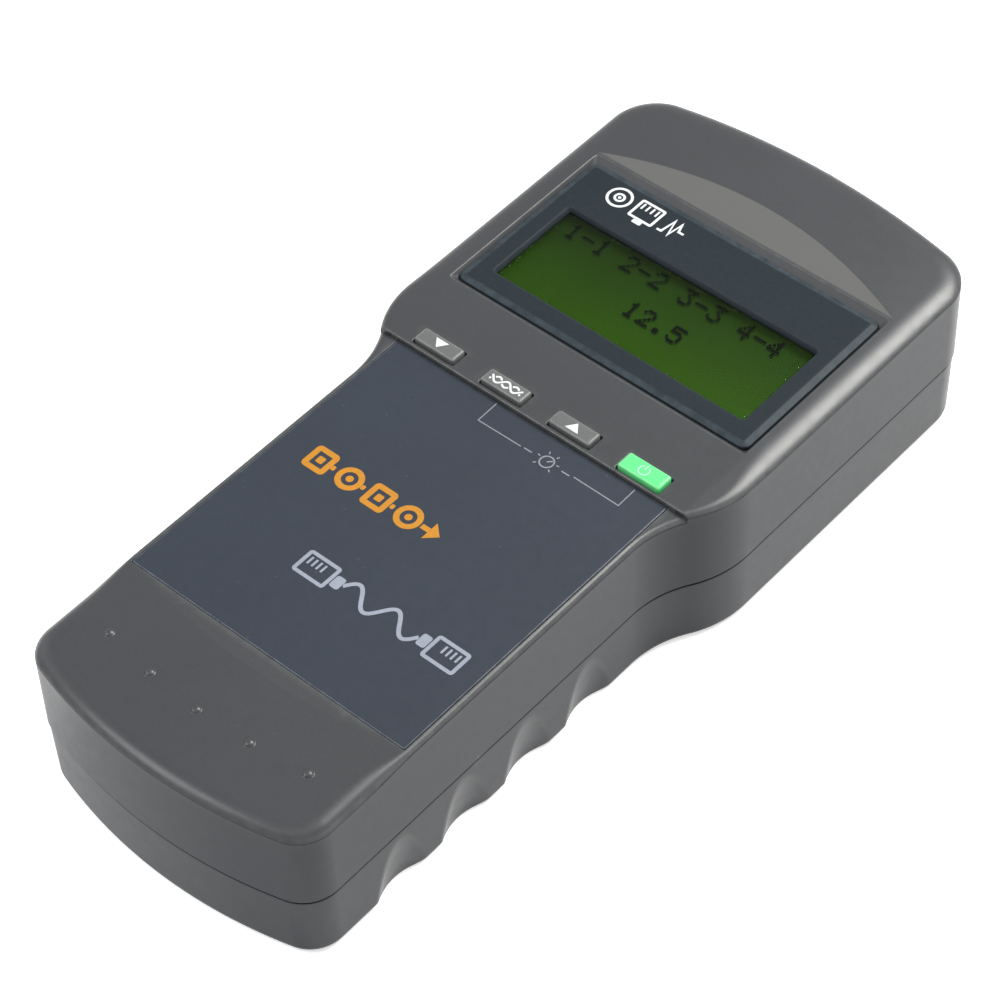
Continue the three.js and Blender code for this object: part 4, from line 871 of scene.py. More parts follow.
def build_rear():
    st = full_outline(0.55, 0.4)
    n = len(st)
    r, rz = 1.35, 1.42
    levels = []
    for i in range(9):
        a = math.pi / 2 * i / 8
        levels.append((r * (1 - math.sin(a)), BACK_Z + rz * (1 - math.cos(a))))
    levels += [(0.0, z) for z in np.arange(BACK_Z + 1.75, 12.3, 0.36)]
    levels += [(0.0, 12.5), (0.02, 12.6), (0.08, 12.66), (0.2, 12.68), (0.34, 12.68)]
    verts, faces, rings = [], [], []
    straight = (st[:, 1] > 14) & (st[:, 1] < 87.9)
    for d, z in levels:
        low = min(1.0, (REAR_Z1 - z) / (REAR_Z1 - BACK_Z - rz))
        dd = REAR_INSET + d + (REAR_DRAFT + END_DRAFT * np.abs(st[:, 3])) * low
        x, y = st[:, 0] - st[:, 2] * dd, st[:, 1] - st[:, 3] * dd
        lim = groove_edge(x, y, z)
        ax = np.abs(x)
        h = np.clip(0.5 + 0.5 * (lim - ax) / 0.22, 0, 1)
        m = lim * (1 - h) + ax * h - 0.22 * h * (1 - h)
        x = np.where(straight, np.sign(x) * np.minimum(m, ax), x)
        rings.append(np.column_stack([x, y]))
        verts += [(float(a), float(b), float(z)) for a, b in zip(x, y)]
    for k in range(len(levels) - 1):
        for i in range(n):
            j = (i + 1) % n
            faces.append((k * n + i, k * n + j, (k + 1) * n + j, (k + 1) * n + i))
    faces.append(tuple((len(levels) - 1) * n + i for i in range(n)))
    # back face, gridded so the tooling can cut it cleanly
    loop = rings[0]
    pts = [tuple(map(float, p)) for p in loop]
    segs = [(i, (i + 1) % n) for i in range(n)]
    for j, y in enumerate(np.arange(4, LENGTH - 3, 3.5)):
        for x in np.arange(-37 + (j % 2) * 2, 37.1, 4.0):
            pts.append((float(x), float(y)))
    inner = inset_loop(st, REAR_INSET + 1.7 + 1.2)
    ok = inside_polygon(np.array([p[0] for p in pts[n:]]), np.array([p[1] for p in pts[n:]]), inner)
    pts = pts[:n] + [p for p, k in zip(pts[n:], ok) if k and abs(p[0]) < 29.9 or p[1] > 88 and k]
    V, T = triangulate(pts, segs, loop)
    rim = np.array(loop)
    index = []
    for a, b in V:
        gap = (rim[:, 0] - a) ** 2 + (rim[:, 1] - b) ** 2
        k = int(np.argmin(gap))
        if gap[k] > 1e-6:
            k = len(verts)
            verts.append((float(a), float(b), BACK_Z))
        index.append(k)
    faces += [tuple(index[i] for i in t[::-1]) for t in T.tolist()]
    ob = make("rear_shell_skin", verts, faces)
    inner = REAR_INSET + REAR_DRAFT + END_DRAFT + WALL
    boolean(ob, outline_prism("c", inner, FLOOR, 40, 73.2, 230))
    boolean(ob, outline_prism("c", inner, BACK_Z + 5.2, 40, -10, BAY_Y0 - 1.7))
    boolean(ob, ring_wall("c", 1.9, 2.9, 12.0, 14.3), "UNION")
    bay = block("c", -BAY_HALF - 1.1, BAY_HALF + 1.1, BAY_Y0 - 1.7, BAY_Y1 + 1.7, 6, BAY_TOP + 1.2)
    boolean(ob, bay, "UNION")
    boolean(ob, rounded_block("c", -BAY_HALF, BAY_HALF, BAY_Y0, BAY_Y1, BACK_Z - 1, BAY_TOP, 0.8, 0.5))
    # cradles that carry the cells, standing off the roof of the bay
    for y0 in (24.0, 40.0, 56.0):
        rib = block("rib", -BAY_HALF - 0.4, BAY_HALF + 0.4, y0, y0 + 1.4, CELL_Z + 2.6, BAY_TOP + 0.4)
        for k in (-1.5, -0.5, 0.5, 1.5):
            pts_ = [(k * CELL_PITCH + (CELL_R + 0.14) * math.cos(a), (CELL_R + 0.14) * math.sin(a)) for a in np.linspace(0, 2 * math.pi, 49)[:-1]]
            c = loft("c", [[(px, y0 - 1, CELL_Z + pz) for px, pz in pts_[::-1]], [(px, y0 + 3, CELL_Z + pz) for px, pz in pts_[::-1]]])
            boolean(rib, c)
        boolean(ob, rib, "UNION")
    hole = rrect(-DOOR_HALF - GAP, DOOR_HALF + GAP, DOOR_Y0 - GAP, DOOR_Y1 + GAP, 1.8, 8)
    rows = []
    for dd, z in ((0.32, -1.0), (0.32, -0.0001), (0.17, 0.06), (0.06, 0.16), (0.0, 0.34), (0.0, DOOR_Z1 - BACK_Z + GAP)):
        z += BACK_Z
        rows.append(ring(rrect(-DOOR_HALF - GAP - dd, DOOR_HALF + GAP + dd, DOOR_Y0 - GAP - dd, DOOR_Y1 + GAP + dd, 1.8 + dd, 8), z))
    boolean(ob, loft("c", rows))
    for x, y in CASE_SCREWS:
        boolean(ob, cylinder("c", x, y, BACK_Z + 0.5, REAR_Z1 - 0.01, 4.0), "UNION")
    for x, y in CASE_SCREWS:
        rows = [ring(circle(x, y, rr, 44), BACK_Z + z) for rr, z in ((3.45, -1), (3.45, -0.0001), (3.25, 0.08), (3.14, 0.2), (3.1, 0.35), (3.1, 3.2))]
        boolean(ob, loft("c", rows))
        boolean(ob, cylinder("c", x, y, BACK_Z + 2, 20, 1.65, 24))
    for x in (-PORT_X, PORT_X):
        boolean(ob, mouth(x))
    return ob


def rear_wear_and_joint_shade(ob):
    me = ob.data
    nv = len(me.vertices)
    co = np.empty(nv * 3); me.vertices.foreach_get("co", co); co = co.reshape(-1, 3)
    x, y, z = co.T
    d, _, _, _ = nearest(x, y)
    skin = d < 2.8
    w = 0.5 * np.exp(-((z - BACK_Z - 0.45) / 0.45) ** 2) * skin
    g = groove_edge(x, y, z)
    edge = np.abs(g - (GRIP_HALF - REAR_INSET))
    w = np.maximum(w, 0.6 * np.exp(-(edge / 0.18) ** 2) * skin * (y > 16) * (y < 86))
    w = np.maximum(w, 0.8 * np.exp(-((y - 46.2) / 0.7) ** 2 - ((z - 12.4) / 0.9) ** 2) * (x > 30) * skin)
    at = me.attributes.new("wear_and_highlight", "FLOAT", "POINT")
    at.data.foreach_set("value", w.astype(np.float32))
    # painted shade: the ledge inside the parting-line gap and the top of the lip behind it are mixed to near black
    joint_shade = np.clip((d - REAR_INSET - 0.06) / 0.1, 0, 1) * (z > 12.62) * (d < 2.8)
    joint_shade = np.maximum(joint_shade, (z > 12.75) * (d > 1.5) * (d < 3.2))
    at = me.attributes.new("cavity", "FLOAT", "POINT")
    at.data.foreach_set("value", joint_shade.astype(np.float32))


rear = build_rear()
rear_wear_and_joint_shade(rear)
put(rear, "case", M_REAR, ["rear_shell"], angle=30)


# ------------------------------------------------------------------ battery door
def build_door():
    rows = []
    for d, z in ((0.45, DOOR_Z0), (0.2, DOOR_Z0 + 0.05), (0.06, DOOR_Z0 + 0.17), (0.0, DOOR_Z0 + 0.38), (0.0, DOOR_Z1 - 0.15), (0.12, DOOR_Z1)):
        rows.append(ring(rrect(-DOOR_HALF + d, DOOR_HALF - d, DOOR_Y0 + d, DOOR_Y1 - d, 1.5 - d, 8), z))
    ob = loft("battery_door_panel", rows)
    for s in (-1, 1):
        boolean(ob, prism("c", rrect(s * 9.2 - 0.4, s * 9.2 + 0.4, DOOR_Y1 - 12, DOOR_Y1 + 2, 0.38, 5), BACK_Z - 1, 5))
    # thumb scoop: a shallow dish that deepens to a lip
    n = 40
    rows = []
    for k, z in ((1.0, BACK_Z - 0.3), (1.0, DOOR_Z0 - 0.001), (0.985, DOOR_Z0 + 0.1), (0.95, DOOR_Z0 + 0.3), (0.87, DOOR_Z0 + 0.55), (0.74, DOOR_Z0 + 0.78), (0.55, DOOR_Z0 + 0.92), (0.3, DOOR_Z0 + 0.98)):
        rows.append(ring([(7.0 * k * math.copysign(abs(math.cos(a)) ** 0.8, math.cos(a)), DOOR_Y1 - 6.5 + 3.6 * k * math.copysign(abs(math.sin(a)) ** 0.8, math.sin(a))) for a in np.linspace(0, 2 * math.pi, n + 1)[:-1]], z))
    boolean(ob, loft("c", rows))
    # grip ribs inside the scoop and across the tongue
    for k in range(3):
        y = DOOR_Y1 - 8.0 + k * 1.5
        rib = rounded_block("c", -4.6, 4.6, y - 0.28, y + 0.28, DOOR_Z0 + 0.35, DOOR_Z0 + 1.3, 0.26, 0.16)
        boolean(ob, rib, "UNION")
    # raised opening arrow, and two long stiffening ribs
    arrow = [(-3.2, DOOR_Y1 - 17.4), (0, DOOR_Y1 - 20.4), (3.2, DOOR_Y1 - 17.4), (1.3, DOOR_Y1 - 17.4), (1.3, DOOR_Y1 - 14.4), (-1.3, DOOR_Y1 - 14.4), (-1.3, DOOR_Y1 - 17.4)]
    boolean(ob, loft("c", [ring(arrow, BACK_Z - 1), ring(arrow, DOOR_Z0 + 0.25)]))
    for x in (-20, 20):
        rows = [ring(rrect(x - w_, x + w_, DOOR_Y0 + 8 - e, DOOR_Y1 - 8 + e, w_ * 0.98, 6), z) for w_, e, z in ((0.9, 0.1, BACK_Z - 1), (0.9, 0.1, DOOR_Z0 - 0.001), (0.72, 0.0, DOOR_Z0 + 0.12), (0.5, -0.2, DOOR_Z0 + 0.3))]
        boolean(ob, loft("c", rows))
    return ob


door = build_door()
put(door, "battery_door", M_DOOR, ["battery_door"])


# ------------------------------------------------------------------ label, bezel, window, display
def flat_print(name, shapes, z0, thick):
    """Thin printed shapes: each a polygon in plan (anticlockwise), or (outer, hole) with equal point counts."""
    verts, faces = [], []
    for s in shapes:
        if isinstance(s, tuple):
            o, h = s
            n = len(o)
            b = len(verts)
            verts += ring(o, z0) + ring(o, z0 + thick) + ring(h, z0 + thick) + ring(h, z0)
            for k in range(4):
                a, c = b + k * n, b + ((k + 1) % 4) * n
                for i in range(n):
                    j = (i + 1) % n
                    faces.append((a + i, a + j, c + j, c + i))
        else:
            n = len(s)
            b = len(verts)
            verts += ring(s, z0) + ring(s, z0 + thick)
            for i in range(n):
                j = (i + 1) % n
                faces.append((b + i, b + j, b + n + j, b + n + i))
            faces.append(tuple(b + i for i in range(n - 1, -1, -1)))
            faces.append(tuple(b + n + i for i in range(n)))
    return make(name, verts, faces)


def stroke(P, w):
    """A line of width w through the points, as one polygon with mitred joints."""
    P = [np.array(p, float) for p in P]
    L, R = [], []
    for i, p in enumerate(P):
        a = P[max(i - 1, 0)]
        b = P[min(i + 1, len(P) - 1)]
        if i == 0 or i == len(P) - 1:
            t = (b - a) / np.linalg.norm(b - a)
            nrm = np.array([-t[1], t[0]])
            k = 1.0
        else:
            t0 = (p - a) / np.linalg.norm(p - a)
            t1 = (b - p) / np.linalg.norm(b - p)
            n0, n1 = np.array([-t0[1], t0[0]]), np.array([-t1[1], t1[0]])
            nrm = n0 + n1
            nrm /= np.linalg.norm(nrm)
            k = 1 / max(0.35, float(nrm @ n0))
        L.append(p + nrm * w / 2 * k)
        R.append(p - nrm * w / 2 * k)
    return [tuple(q) for q in R] + [tuple(q) for q in L[::-1]]


def frame_shape(x0, x1, y0, y1, r, w, seg=5):
    return (rrect(x0, x1, y0, y1, r, seg), rrect(x0 + w, x1 - w, y0 + w, y1 - w, max(r - w, 0.05), seg))


def ring_shape(cx, cy, r, w, n=36):
    return (circle(cx, cy, r, n), circle(cx, cy, r - w, n))


label = rounded_block("face_label_film", -LABEL_HALF - 0.13, LABEL_HALF + 0.13, LABEL_Y0 - 0.1, STEP_Y - 0.1, LABEL_Z - 0.4, LABEL_Z, 0.35, 0.1)
LX, LY = LABEL_HALF + 0.13, LABEL_Y0 - 0.1
boolean(label, flat_print("c", [frame_shape(-LX + 0.34, LX - 0.34, LY + 0.34, STEP_Y - 0.44, 0.1, 0.04, 3)], LABEL_Z - 0.02, 0.2))
me = label.data
co = np.array([v.co for v in me.vertices])
# painted highlight: a band along the film's top edge is tinted lighter, broken up by the scuff noise, as if the edge
# caught the light
edge = rect_dist(co[:, 0], co[:, 1], -LX, LX, LY, STEP_Y - 0.1, 0.35)[0]
at = me.attributes.new("wear_and_highlight", "FLOAT", "POINT")
at.data.foreach_set("value", (1.0 * (edge > -0.25) * (co[:, 2] > LABEL_Z - 0.09)).astype(np.float32))
put(label, "case", M_LABEL, ["face_label"])
LZ = LABEL_Z + 0.002

# row of linked nodes, in orange
shapes = []
for k, x in enumerate((-22.6, -15.6, -8.6, -1.6)):
    if k % 2 == 0:
        shapes.append(frame_shape(x - 2.6, x + 2.6, 65.7, 71.3, 0.9, 1.15))
        shapes.append(rrect(x - 0.75, x + 0.75, 67.7, 69.3, 0.3, 4))
    else:
        shapes.append(ring_shape(x, 68.5, 2.75, 1.15))
        shapes.append(circle(x, 68.5, 0.75, 20))
for x in (-19.55, -12.4, -5.4):
    shapes.append(rrect(x - 0.42, x + 0.42, 67.95, 69.05, 0.3, 3))
shapes.append(stroke([(1.5, 68.5), (3.28, 68.5)], 1.1))
shapes.append([(3.3, 66.3), (5.7, 68.5), (3.3, 70.7)])
p = flat_print("label_print_nodes", shapes, LZ, 0.02)
put(p, "case", I_ORANGE)

# a lead with a modular plug on each end, in grey
shapes = []
for s, x0 in ((1, -9.6), (-1, 27.6)):
    xs = sorted((x0, x0 + s * 7.4))
    shapes.append(frame_shape(xs[0], xs[1], 46.8, 52.4, 0.7, 0.75))
    for k in range(4):
        xx = x0 + s * (1.5 + 1.05 * k)
        shapes.append(rrect(xx - 0.22, xx + 0.22, 49.4, 51.2, 0.1, 2))
    bx = sorted((x0 + s * 7.6, x0 + s * 9.6))
    shapes.append(rrect(bx[0], bx[1], 48.2, 51.0, 0.5, 4))
wave = [(x, 49.6 + 2.1 * math.sin((x - 0.2) / 17.6 * 4 * math.pi)) for x in np.linspace(0.2, 17.8, 60)]
shapes.append(stroke(wave, 0.8))
p = flat_print("label_print_lead", shapes, LZ, 0.02)
put(p, "case", I_GREY)

# bracket under the three keys, with a small dial between its ends
shapes = [stroke([(-7.5, 98.8), (-7.4, 93.6), (2.6, 93.7)], 0.22), stroke([(14.6, 94.1), (24.9, 94.0), (24.8, 98.7)], 0.22)]
shapes += [ring_shape(8.6, 93.8, 1.5, 0.3), stroke([(8.6, 93.8), (9.5, 94.7)], 0.3)]
for a in range(-40, 221, 52):
    c, s = math.cos(math.radians(a)), math.sin(math.radians(a))
    shapes.append(stroke([(8.6 + 1.9 * c, 93.8 + 1.9 * s), (8.6 + 2.5 * c, 93.8 + 2.5 * s)], 0.25))
for x in (4.2, 12.9):
    shapes.append(stroke([(x - 0.9, 93.8), (x + 0.9, 93.8)], 0.26))
p = flat_print("label_print_bracket", shapes, LZ, 0.02)
put(p, "case", I_BRACKET)


def build_bezel():
    seg = 6
    rows = []

    def outer(d, z, r=0.6):
        rows.append(ring(rrect(-LENS_HALF + d, LENS_HALF - d, LENS_Y0 + d, LENS_Y1 - d, max(r - d, 0.05), seg), z))

    def inner(d, z, r=0.5):
        rows.append(ring(rrect(-WINDOW_HALF - d, WINDOW_HALF + d, WINDOW_Y0 - d, WINDOW_Y1 + d, r + d, seg), z))

    for d, dz in ((-0.15, 1.2), (-0.15, 0.5), (-0.12, 0.4), (-0.02, 0.33), (0.2, 0.27), (0.8, 0.13), (1.0, 0.06), (1.12, 0.02), (1.3, 0.0), (1.8, 0.0)):
        outer(d, FACE_Z - dz, 1.5)
    inner(0.95, FACE_Z); inner(0.62, FACE_Z); inner(0.52, FACE_Z - 0.02); inner(0.42, FACE_Z - 0.09)
    inner(0.0, FACE_Z - 0.82); inner(-0.06, FACE_Z - 0.95); inner(-0.06, FACE_Z - 1.05); inner(0.0, 31.0)
    rows = [r for r in rows]
    ob = loft("display_bezel_plate", rows, closed=True)
    me = ob.data
    co = np.array([v.co for v in me.vertices])
    # painted highlight: the outer bevelled rim and a thin line at the window's edge are tinted lighter, broken up by
    # scuff noise
    a = rect_dist(co[:, 0], co[:, 1], -LENS_HALF, LENS_HALF, LENS_Y0, LENS_Y1, 1.5)[0]
    b = rect_dist(co[:, 0], co[:, 1], -WINDOW_HALF, WINDOW_HALF, WINDOW_Y0, WINDOW_Y1, 0.5)[0]
    w = np.maximum(0.95 * np.clip((a + 1.25) / 0.3, 0, 1), 0.4 * np.exp(-((b - 0.5) / 0.12) ** 2)) * (co[:, 2] > 31.6)
    at = me.attributes.new("wear_and_highlight", "FLOAT", "POINT")
    at.data.foreach_set("value", w.astype(np.float32))
    return ob


bezel = build_bezel()
put(bezel, "case", M_BEZEL, ["display_bezel"], angle=28)

BZ = FACE_Z + 0.002
shapes = [ring_shape(-23.9, 153.2, 2.7, 0.55), ring_shape(-23.9, 153.2, 1.2, 0.5), circle(-23.9, 153.2, 0.35, 16)]
shapes += [frame_shape(-20.1, -14.3, 150.6, 155.8, 0.5, 0.55), rrect(-18.2, -16.2, 149.6, 150.7, 0.2, 3)]
for k in range(4):
    x = -18.9 + k * 1.13
    shapes.append(rrect(x - 0.2, x + 0.2, 153.4, 155.0, 0.1, 2))
shapes += [stroke([(-13.2, 151.2), (-12.2, 151.2), (-11.6, 154.9), (-10.6, 151.2), (-10.0, 154.9), (-9.4, 153.0), (-8.2, 153.0)], 0.5)]
p = flat_print("bezel_print_icons", shapes, BZ, 0.02)
put(p, "case", I_WHITE)

win = rounded_block("display_window_clear", -WINDOW_HALF + GAP, WINDOW_HALF - GAP, WINDOW_Y0 + GAP, WINDOW_Y1 - GAP, 30.9, 31.5, 0.4, 0.05)
put(win, "case", M_WINDOW, ["display_window"])

panel = rounded_block("lcd_panel_green", -30.1, 30.1, 122.8, 145.8, 28.4, 29.9, 0.3, 0.1)
put(panel, "case", M_LCD, ["lcd_glass"])

GLYPHS = {
    "0": "01110 10001 10011 10101 11001 10001 01110", "1": "00100 01100 00100 00100 00100 00100 01110",
    "2": "01110 10001 00001 00010 00100 01000 11111", "3": "11111 00010 00100 00010 00001 10001 01110",
    "4": "00010 00110 01010 10010 11111 00010 00010", "5": "11111 10000 11110 00001 00001 10001 01110",
    "6": "00110 01000 10000 11110 10001 10001 01110", "7": "11111 00001 00010 00100 01000 01000 01000",
    "8": "01110 10001 10001 01110 10001 10001 01110", "-": "00000 00000 00000 11111 00000 00000 00000",
    ".": "00000 00000 00000 00000 00000 01100 01100",
}


def dots(text, x0, y0, pitch=3.42, dx=0.56, dy=0.6):
    out = []
    for k, ch in enumerate(text):
        if ch not in GLYPHS:
            continue
        for r, row in enumerate(GLYPHS[ch].split()):
            for c, bit in enumerate(row):
                if bit == "1":
                    x, y = x0 + k * pitch + c * dx, y0 + (6 - r) * dy
                    out.append([(x, y), (x + dx * 0.97, y), (x + dx * 0.97, y + dy * 0.97), (x, y + dy * 0.97)])
    return out


p = flat_print("lcd_dots_dark", dots("1-1 2-2 3-3 4-4", -27.4, 140.3) + dots("12.5", -5.9, 131.4), 30.05, 0.05)
put(p, "case", M_DOTS)
# painted shadow: a dark-green copy of the characters just below and offset from them, where their shadow would fall on
# the reflector
p = flat_print("lcd_dots_painted_shadow", dots("1-1 2-2 3-3 4-4", -27.15, 139.95) + dots("12.5", -5.65, 131.05), 29.93, 0.05)
put(p, "case", M_DOT_SHADOW)


# ------------------------------------------------------------------ keys
def build_key(i):
    d = 0.2 if i == 3 else 0.0
    x = KEY_X[i]
    x0, x1, y0, y1 = x - KEY_W / 2, x + KEY_W / 2, KEY_Y - KEY_D / 2 - d, KEY_Y + KEY_D / 2 + d
    rows = []
    for dd, z in ((0, 29.2), (0, 31.0), (0, KEY_TOP - 0.42), (0.02, KEY_TOP - 0.33), (0.09, KEY_TOP - 0.2), (0.3, KEY_TOP - 0.06), (0.36, KEY_TOP - 0.035), (0.46, KEY_TOP - 0.02), (1.1, KEY_TOP - 0.006)):
        rows.append(ring(rrect(x0 + dd, x1 - dd, y0 + dd, y1 - dd, max(0.4 - dd * 0.6, 0.12), 5), z))
    ob = loft("key", rows)
    fl = rounded_block("c", x0 - 1, x1 + 1, max(y0 - 1, STEP_Y + 0.1), y1 + 1, 28.4, 29.7, 0.4, 0.12)
    boolean(ob, fl, "UNION")
    boolean(ob, cylinder("c", x, KEY_Y, 26.4, 28.6, 1.6, 32, 0.15), "UNION")
    me = ob.data
    co = np.array([v.co for v in me.vertices])
    # a lighter ring just inside the top edge: partly scuffing, partly painted highlight
    b = rect_dist(co[:, 0], co[:, 1], x0, x1, y0, y1, 0.4)[0]
    w = 0.9 * np.exp(-((b + 0.2) / 0.16) ** 2) * (co[:, 2] > 32.6)
    at = me.attributes.new("wear_and_highlight", "FLOAT", "POINT")
    at.data.foreach_set("value", w.astype(np.float32))
    return ob


KEY_NAMES = ["key_down", "key_select", "key_up", "key_power"]
KZ = KEY_TOP - 0.012
ICONS = [
    [[(KEY_X[0] - 1.5, KEY_Y + 0.95), (KEY_X[0], KEY_Y - 1.05), (KEY_X[0] + 1.5, KEY_Y + 0.95)]],
    [stroke([(KEY_X[1] + t, KEY_Y + s * 0.75 * math.cos(t * 1.55)) for t in np.linspace(-3.6, 3.6, 40)], 0.4) for s in (1,)]
    + [stroke([(KEY_X[1] + t, KEY_Y - 0.75 * math.cos(t * 1.55)) for t in np.linspace(a, b, 8)], 0.4) for a, b in ((-3.6, -3.3), (-2.75, -1.3), (-0.75, 0.75), (1.3, 2.75), (3.3, 3.6))],
    [[(KEY_X[2] + 1.5, KEY_Y - 0.95), (KEY_X[2], KEY_Y + 1.05), (KEY_X[2] - 1.5, KEY_Y - 0.95)]],
    [stroke([(KEY_X[3] + 1.05 * math.sin(a), KEY_Y - 0.1 + 1.05 * math.cos(a)) for a in np.linspace(0.55, 2 * math.pi - 0.55, 30)], 0.26), stroke([(KEY_X[3], KEY_Y + 0.1), (KEY_X[3], KEY_Y + 1.35)], 0.26)],
]
for i in range(4):
    ICONS[0][0] = [(KEY_X[0] + 1.5, KEY_Y + 0.95), (KEY_X[0] - 1.5, KEY_Y + 0.95), (KEY_X[0], KEY_Y - 1.05)]
    ICONS[2][0] = [(KEY_X[2] - 1.5, KEY_Y - 0.95), (KEY_X[2] + 1.5, KEY_Y - 0.95), (KEY_X[2], KEY_Y + 1.05)]
    k = build_key(i)
    k.name = KEY_NAMES[i] + "_cap"
    put(k, KEY_NAMES[i], M_KEYG if i == 3 else M_KEY, [KEY_NAMES[i]], angle=40)
    p = flat_print(KEY_NAMES[i] + "_icon", ICONS[i], KZ, 0.02)
    put(p, KEY_NAMES[i], I_MINT if i == 3 else I_WHITE)


# ------------------------------------------------------------------ sockets
def yring(pts, y):
    """Points given as (x, z), anticlockwise seen from the grip end, set at y: lofts along +y."""
    return [(x, y, z) for x, z in pts[::-1]]


def build_port(x):
    """Socket body: key slot and stepped cavity, bevelled mouth, a comb that guides the eight wires."""
    seg = 4
    rows = []
    for d, y in ((0.25, PORT_Y0), (0.07, PORT_Y0 + 0.07), (0.0, PORT_Y0 + 0.25), (0.0, PORT_Y1 - 0.25), (0.07, PORT_Y1 - 0.07), (0.25, PORT_Y1)):
        rows.append(yring(rrect(x - PORT_HALF + d, x + PORT_HALF - d, PORT_Z0 + d, PORT_Z1 - d, 0.4, seg), y))
    ob = loft("port", rows)
    boolean(ob, loft("c", [yring(rrect(x - 5.9, x + 5.9, 7.9, 14.9, 0.2, 3), y) for y in (PORT_Y1 - 13.5, PORT_Y1 + 6)]))
    boolean(ob, loft("c", [yring(rrect(x - 3.05, x + 3.05, 6.3, 8.2, 0.15, 3), y) for y in (PORT_Y1 - 12, PORT_Y1 + 6)]))
    boolean(ob, loft("c", [yring(rrect(x - 1.6, x + 1.6, 5.75, 6.6, 0.1, 3), y) for y in (PORT_Y1 - 9, PORT_Y1 + 6)]))
    boolean(ob, loft("c", [yring(rrect(x - 5.7 - e, x + 5.7 + e, 7.9 - e * 0.4, 14.8 + e, 0.2, 3), PORT_Y1 - 0.55 + e) for e in (0.0, 0.7)]))
    for k in range(8):
        cx = x + (k - 3.5) * 1.02
        boolean(ob, loft("c", [yring(rrect(cx - 0.3, cx + 0.3, 14.5, 15.4, 0.1, 2), y) for y in (PORT_Y1 - 12.5, PORT_Y1 - 1.2)]))
    for s in (-1, 1):  # latch pockets in the side walls
        boolean(ob, block("c", *sorted((x + s * 5.2, x + s * 6.5)), PORT_Y1 - 6.5, PORT_Y1 - 3.0, 9.0, 11.4))
    return ob


def build_wires(x):
    """The eight sprung wires: each leaves the carrier, runs down the comb and turns back at the mouth."""
    y = PORT_Y1 - 183
    obs = []
    for k in range(8):
        cx = x + (k - 3.5) * 1.02
        P = [(170.0, 13.9), (172.5, 13.72), (175.0, 13.5), (177.5, 13.24), (179.2, 13.1), (179.9, 13.12), (180.5, 13.32), (181.0, 13.62), (181.35, 13.92)]
        rings = []
        for i, (py, pz) in enumerate(P):
            a, b = P[max(i - 1, 0)], P[min(i + 1, len(P) - 1)]
            ty, tz = b[0] - a[0], b[1] - a[1]
            ln = math.hypot(ty, tz)
            ty, tz = ty / ln, tz / ln
            r = 0.17 if 0 < i < len(P) - 1 else 0.13
            rings.append([(cx - r * math.sin(t), y + py - r * math.cos(t) * tz, pz + r * math.cos(t) * ty) for t in np.linspace(0, 2 * math.pi, 11)[:-1]])
        obs.append(loft("w", rings))
    obs.append(rounded_block("c", x - 4.5, x + 4.5, y + 169.5, y + 170.3, 9.0, 14.5, 0.15, 0.12))
    return join("wires", obs)


for name, x in (("port_main", -PORT_X), ("port_loopback", PORT_X)):
    k = build_port(x)
    k.name = name + "_body"
    put(k, "case", M_SOCKET, [name], angle=40)
    k = build_wires(x)
    k.name = name + "_wires"
    put(k, "case", M_GOLD, [name + "_contacts"], angle=50)


# ------------------------------------------------------------------ case screws
def build_screw(x, y):
    """Pan head with a cross recess, plain neck, cut thread and a blunt point."""
    z = BACK_Z + 0.9
    prof = [(1.7, 0.0), (2.15, 0.08), (2.5, 0.3), (2.68, 0.62), (2.75, 1.05), (2.75, 1.75), (2.6, 2.0), (1.35, 2.02), (1.3, 3.0)]
    h = 3.0
    while h < 16.6:
        prof += [(1.02, h + 0.18), (1.3, h + 0.5), (1.3, h + 0.6), (1.02, h + 0.92)]
        h += 1.0
    prof += [(0.9, h + 0.6), (0.45, h + 1.6)]
    ob = loft("screw", [ring(circle(x, y, r, 28), z + q) for r, q in prof])
    for a, b in ((1.55, 0.36), (0.36, 1.55)):
        boolean(ob, loft("c", [ring(rrect(x - a - 0.12, x + a + 0.12, y - b - 0.12, y + b + 0.12, 0.2, 3), z - 0.5), ring(rrect(x - a * 0.62, x + a * 0.62, y - b * 0.62, y + b * 0.62, 0.1, 3), z + 1.1)]))
    return ob


for i, (x, y) in enumerate(CASE_SCREWS):
    k = build_screw(x, y)
    k.name = "case_screw_%d_body" % (i + 1)
    put(k, "case", M_STEEL, ["case_screw_%d" % (i + 1)], angle=40)


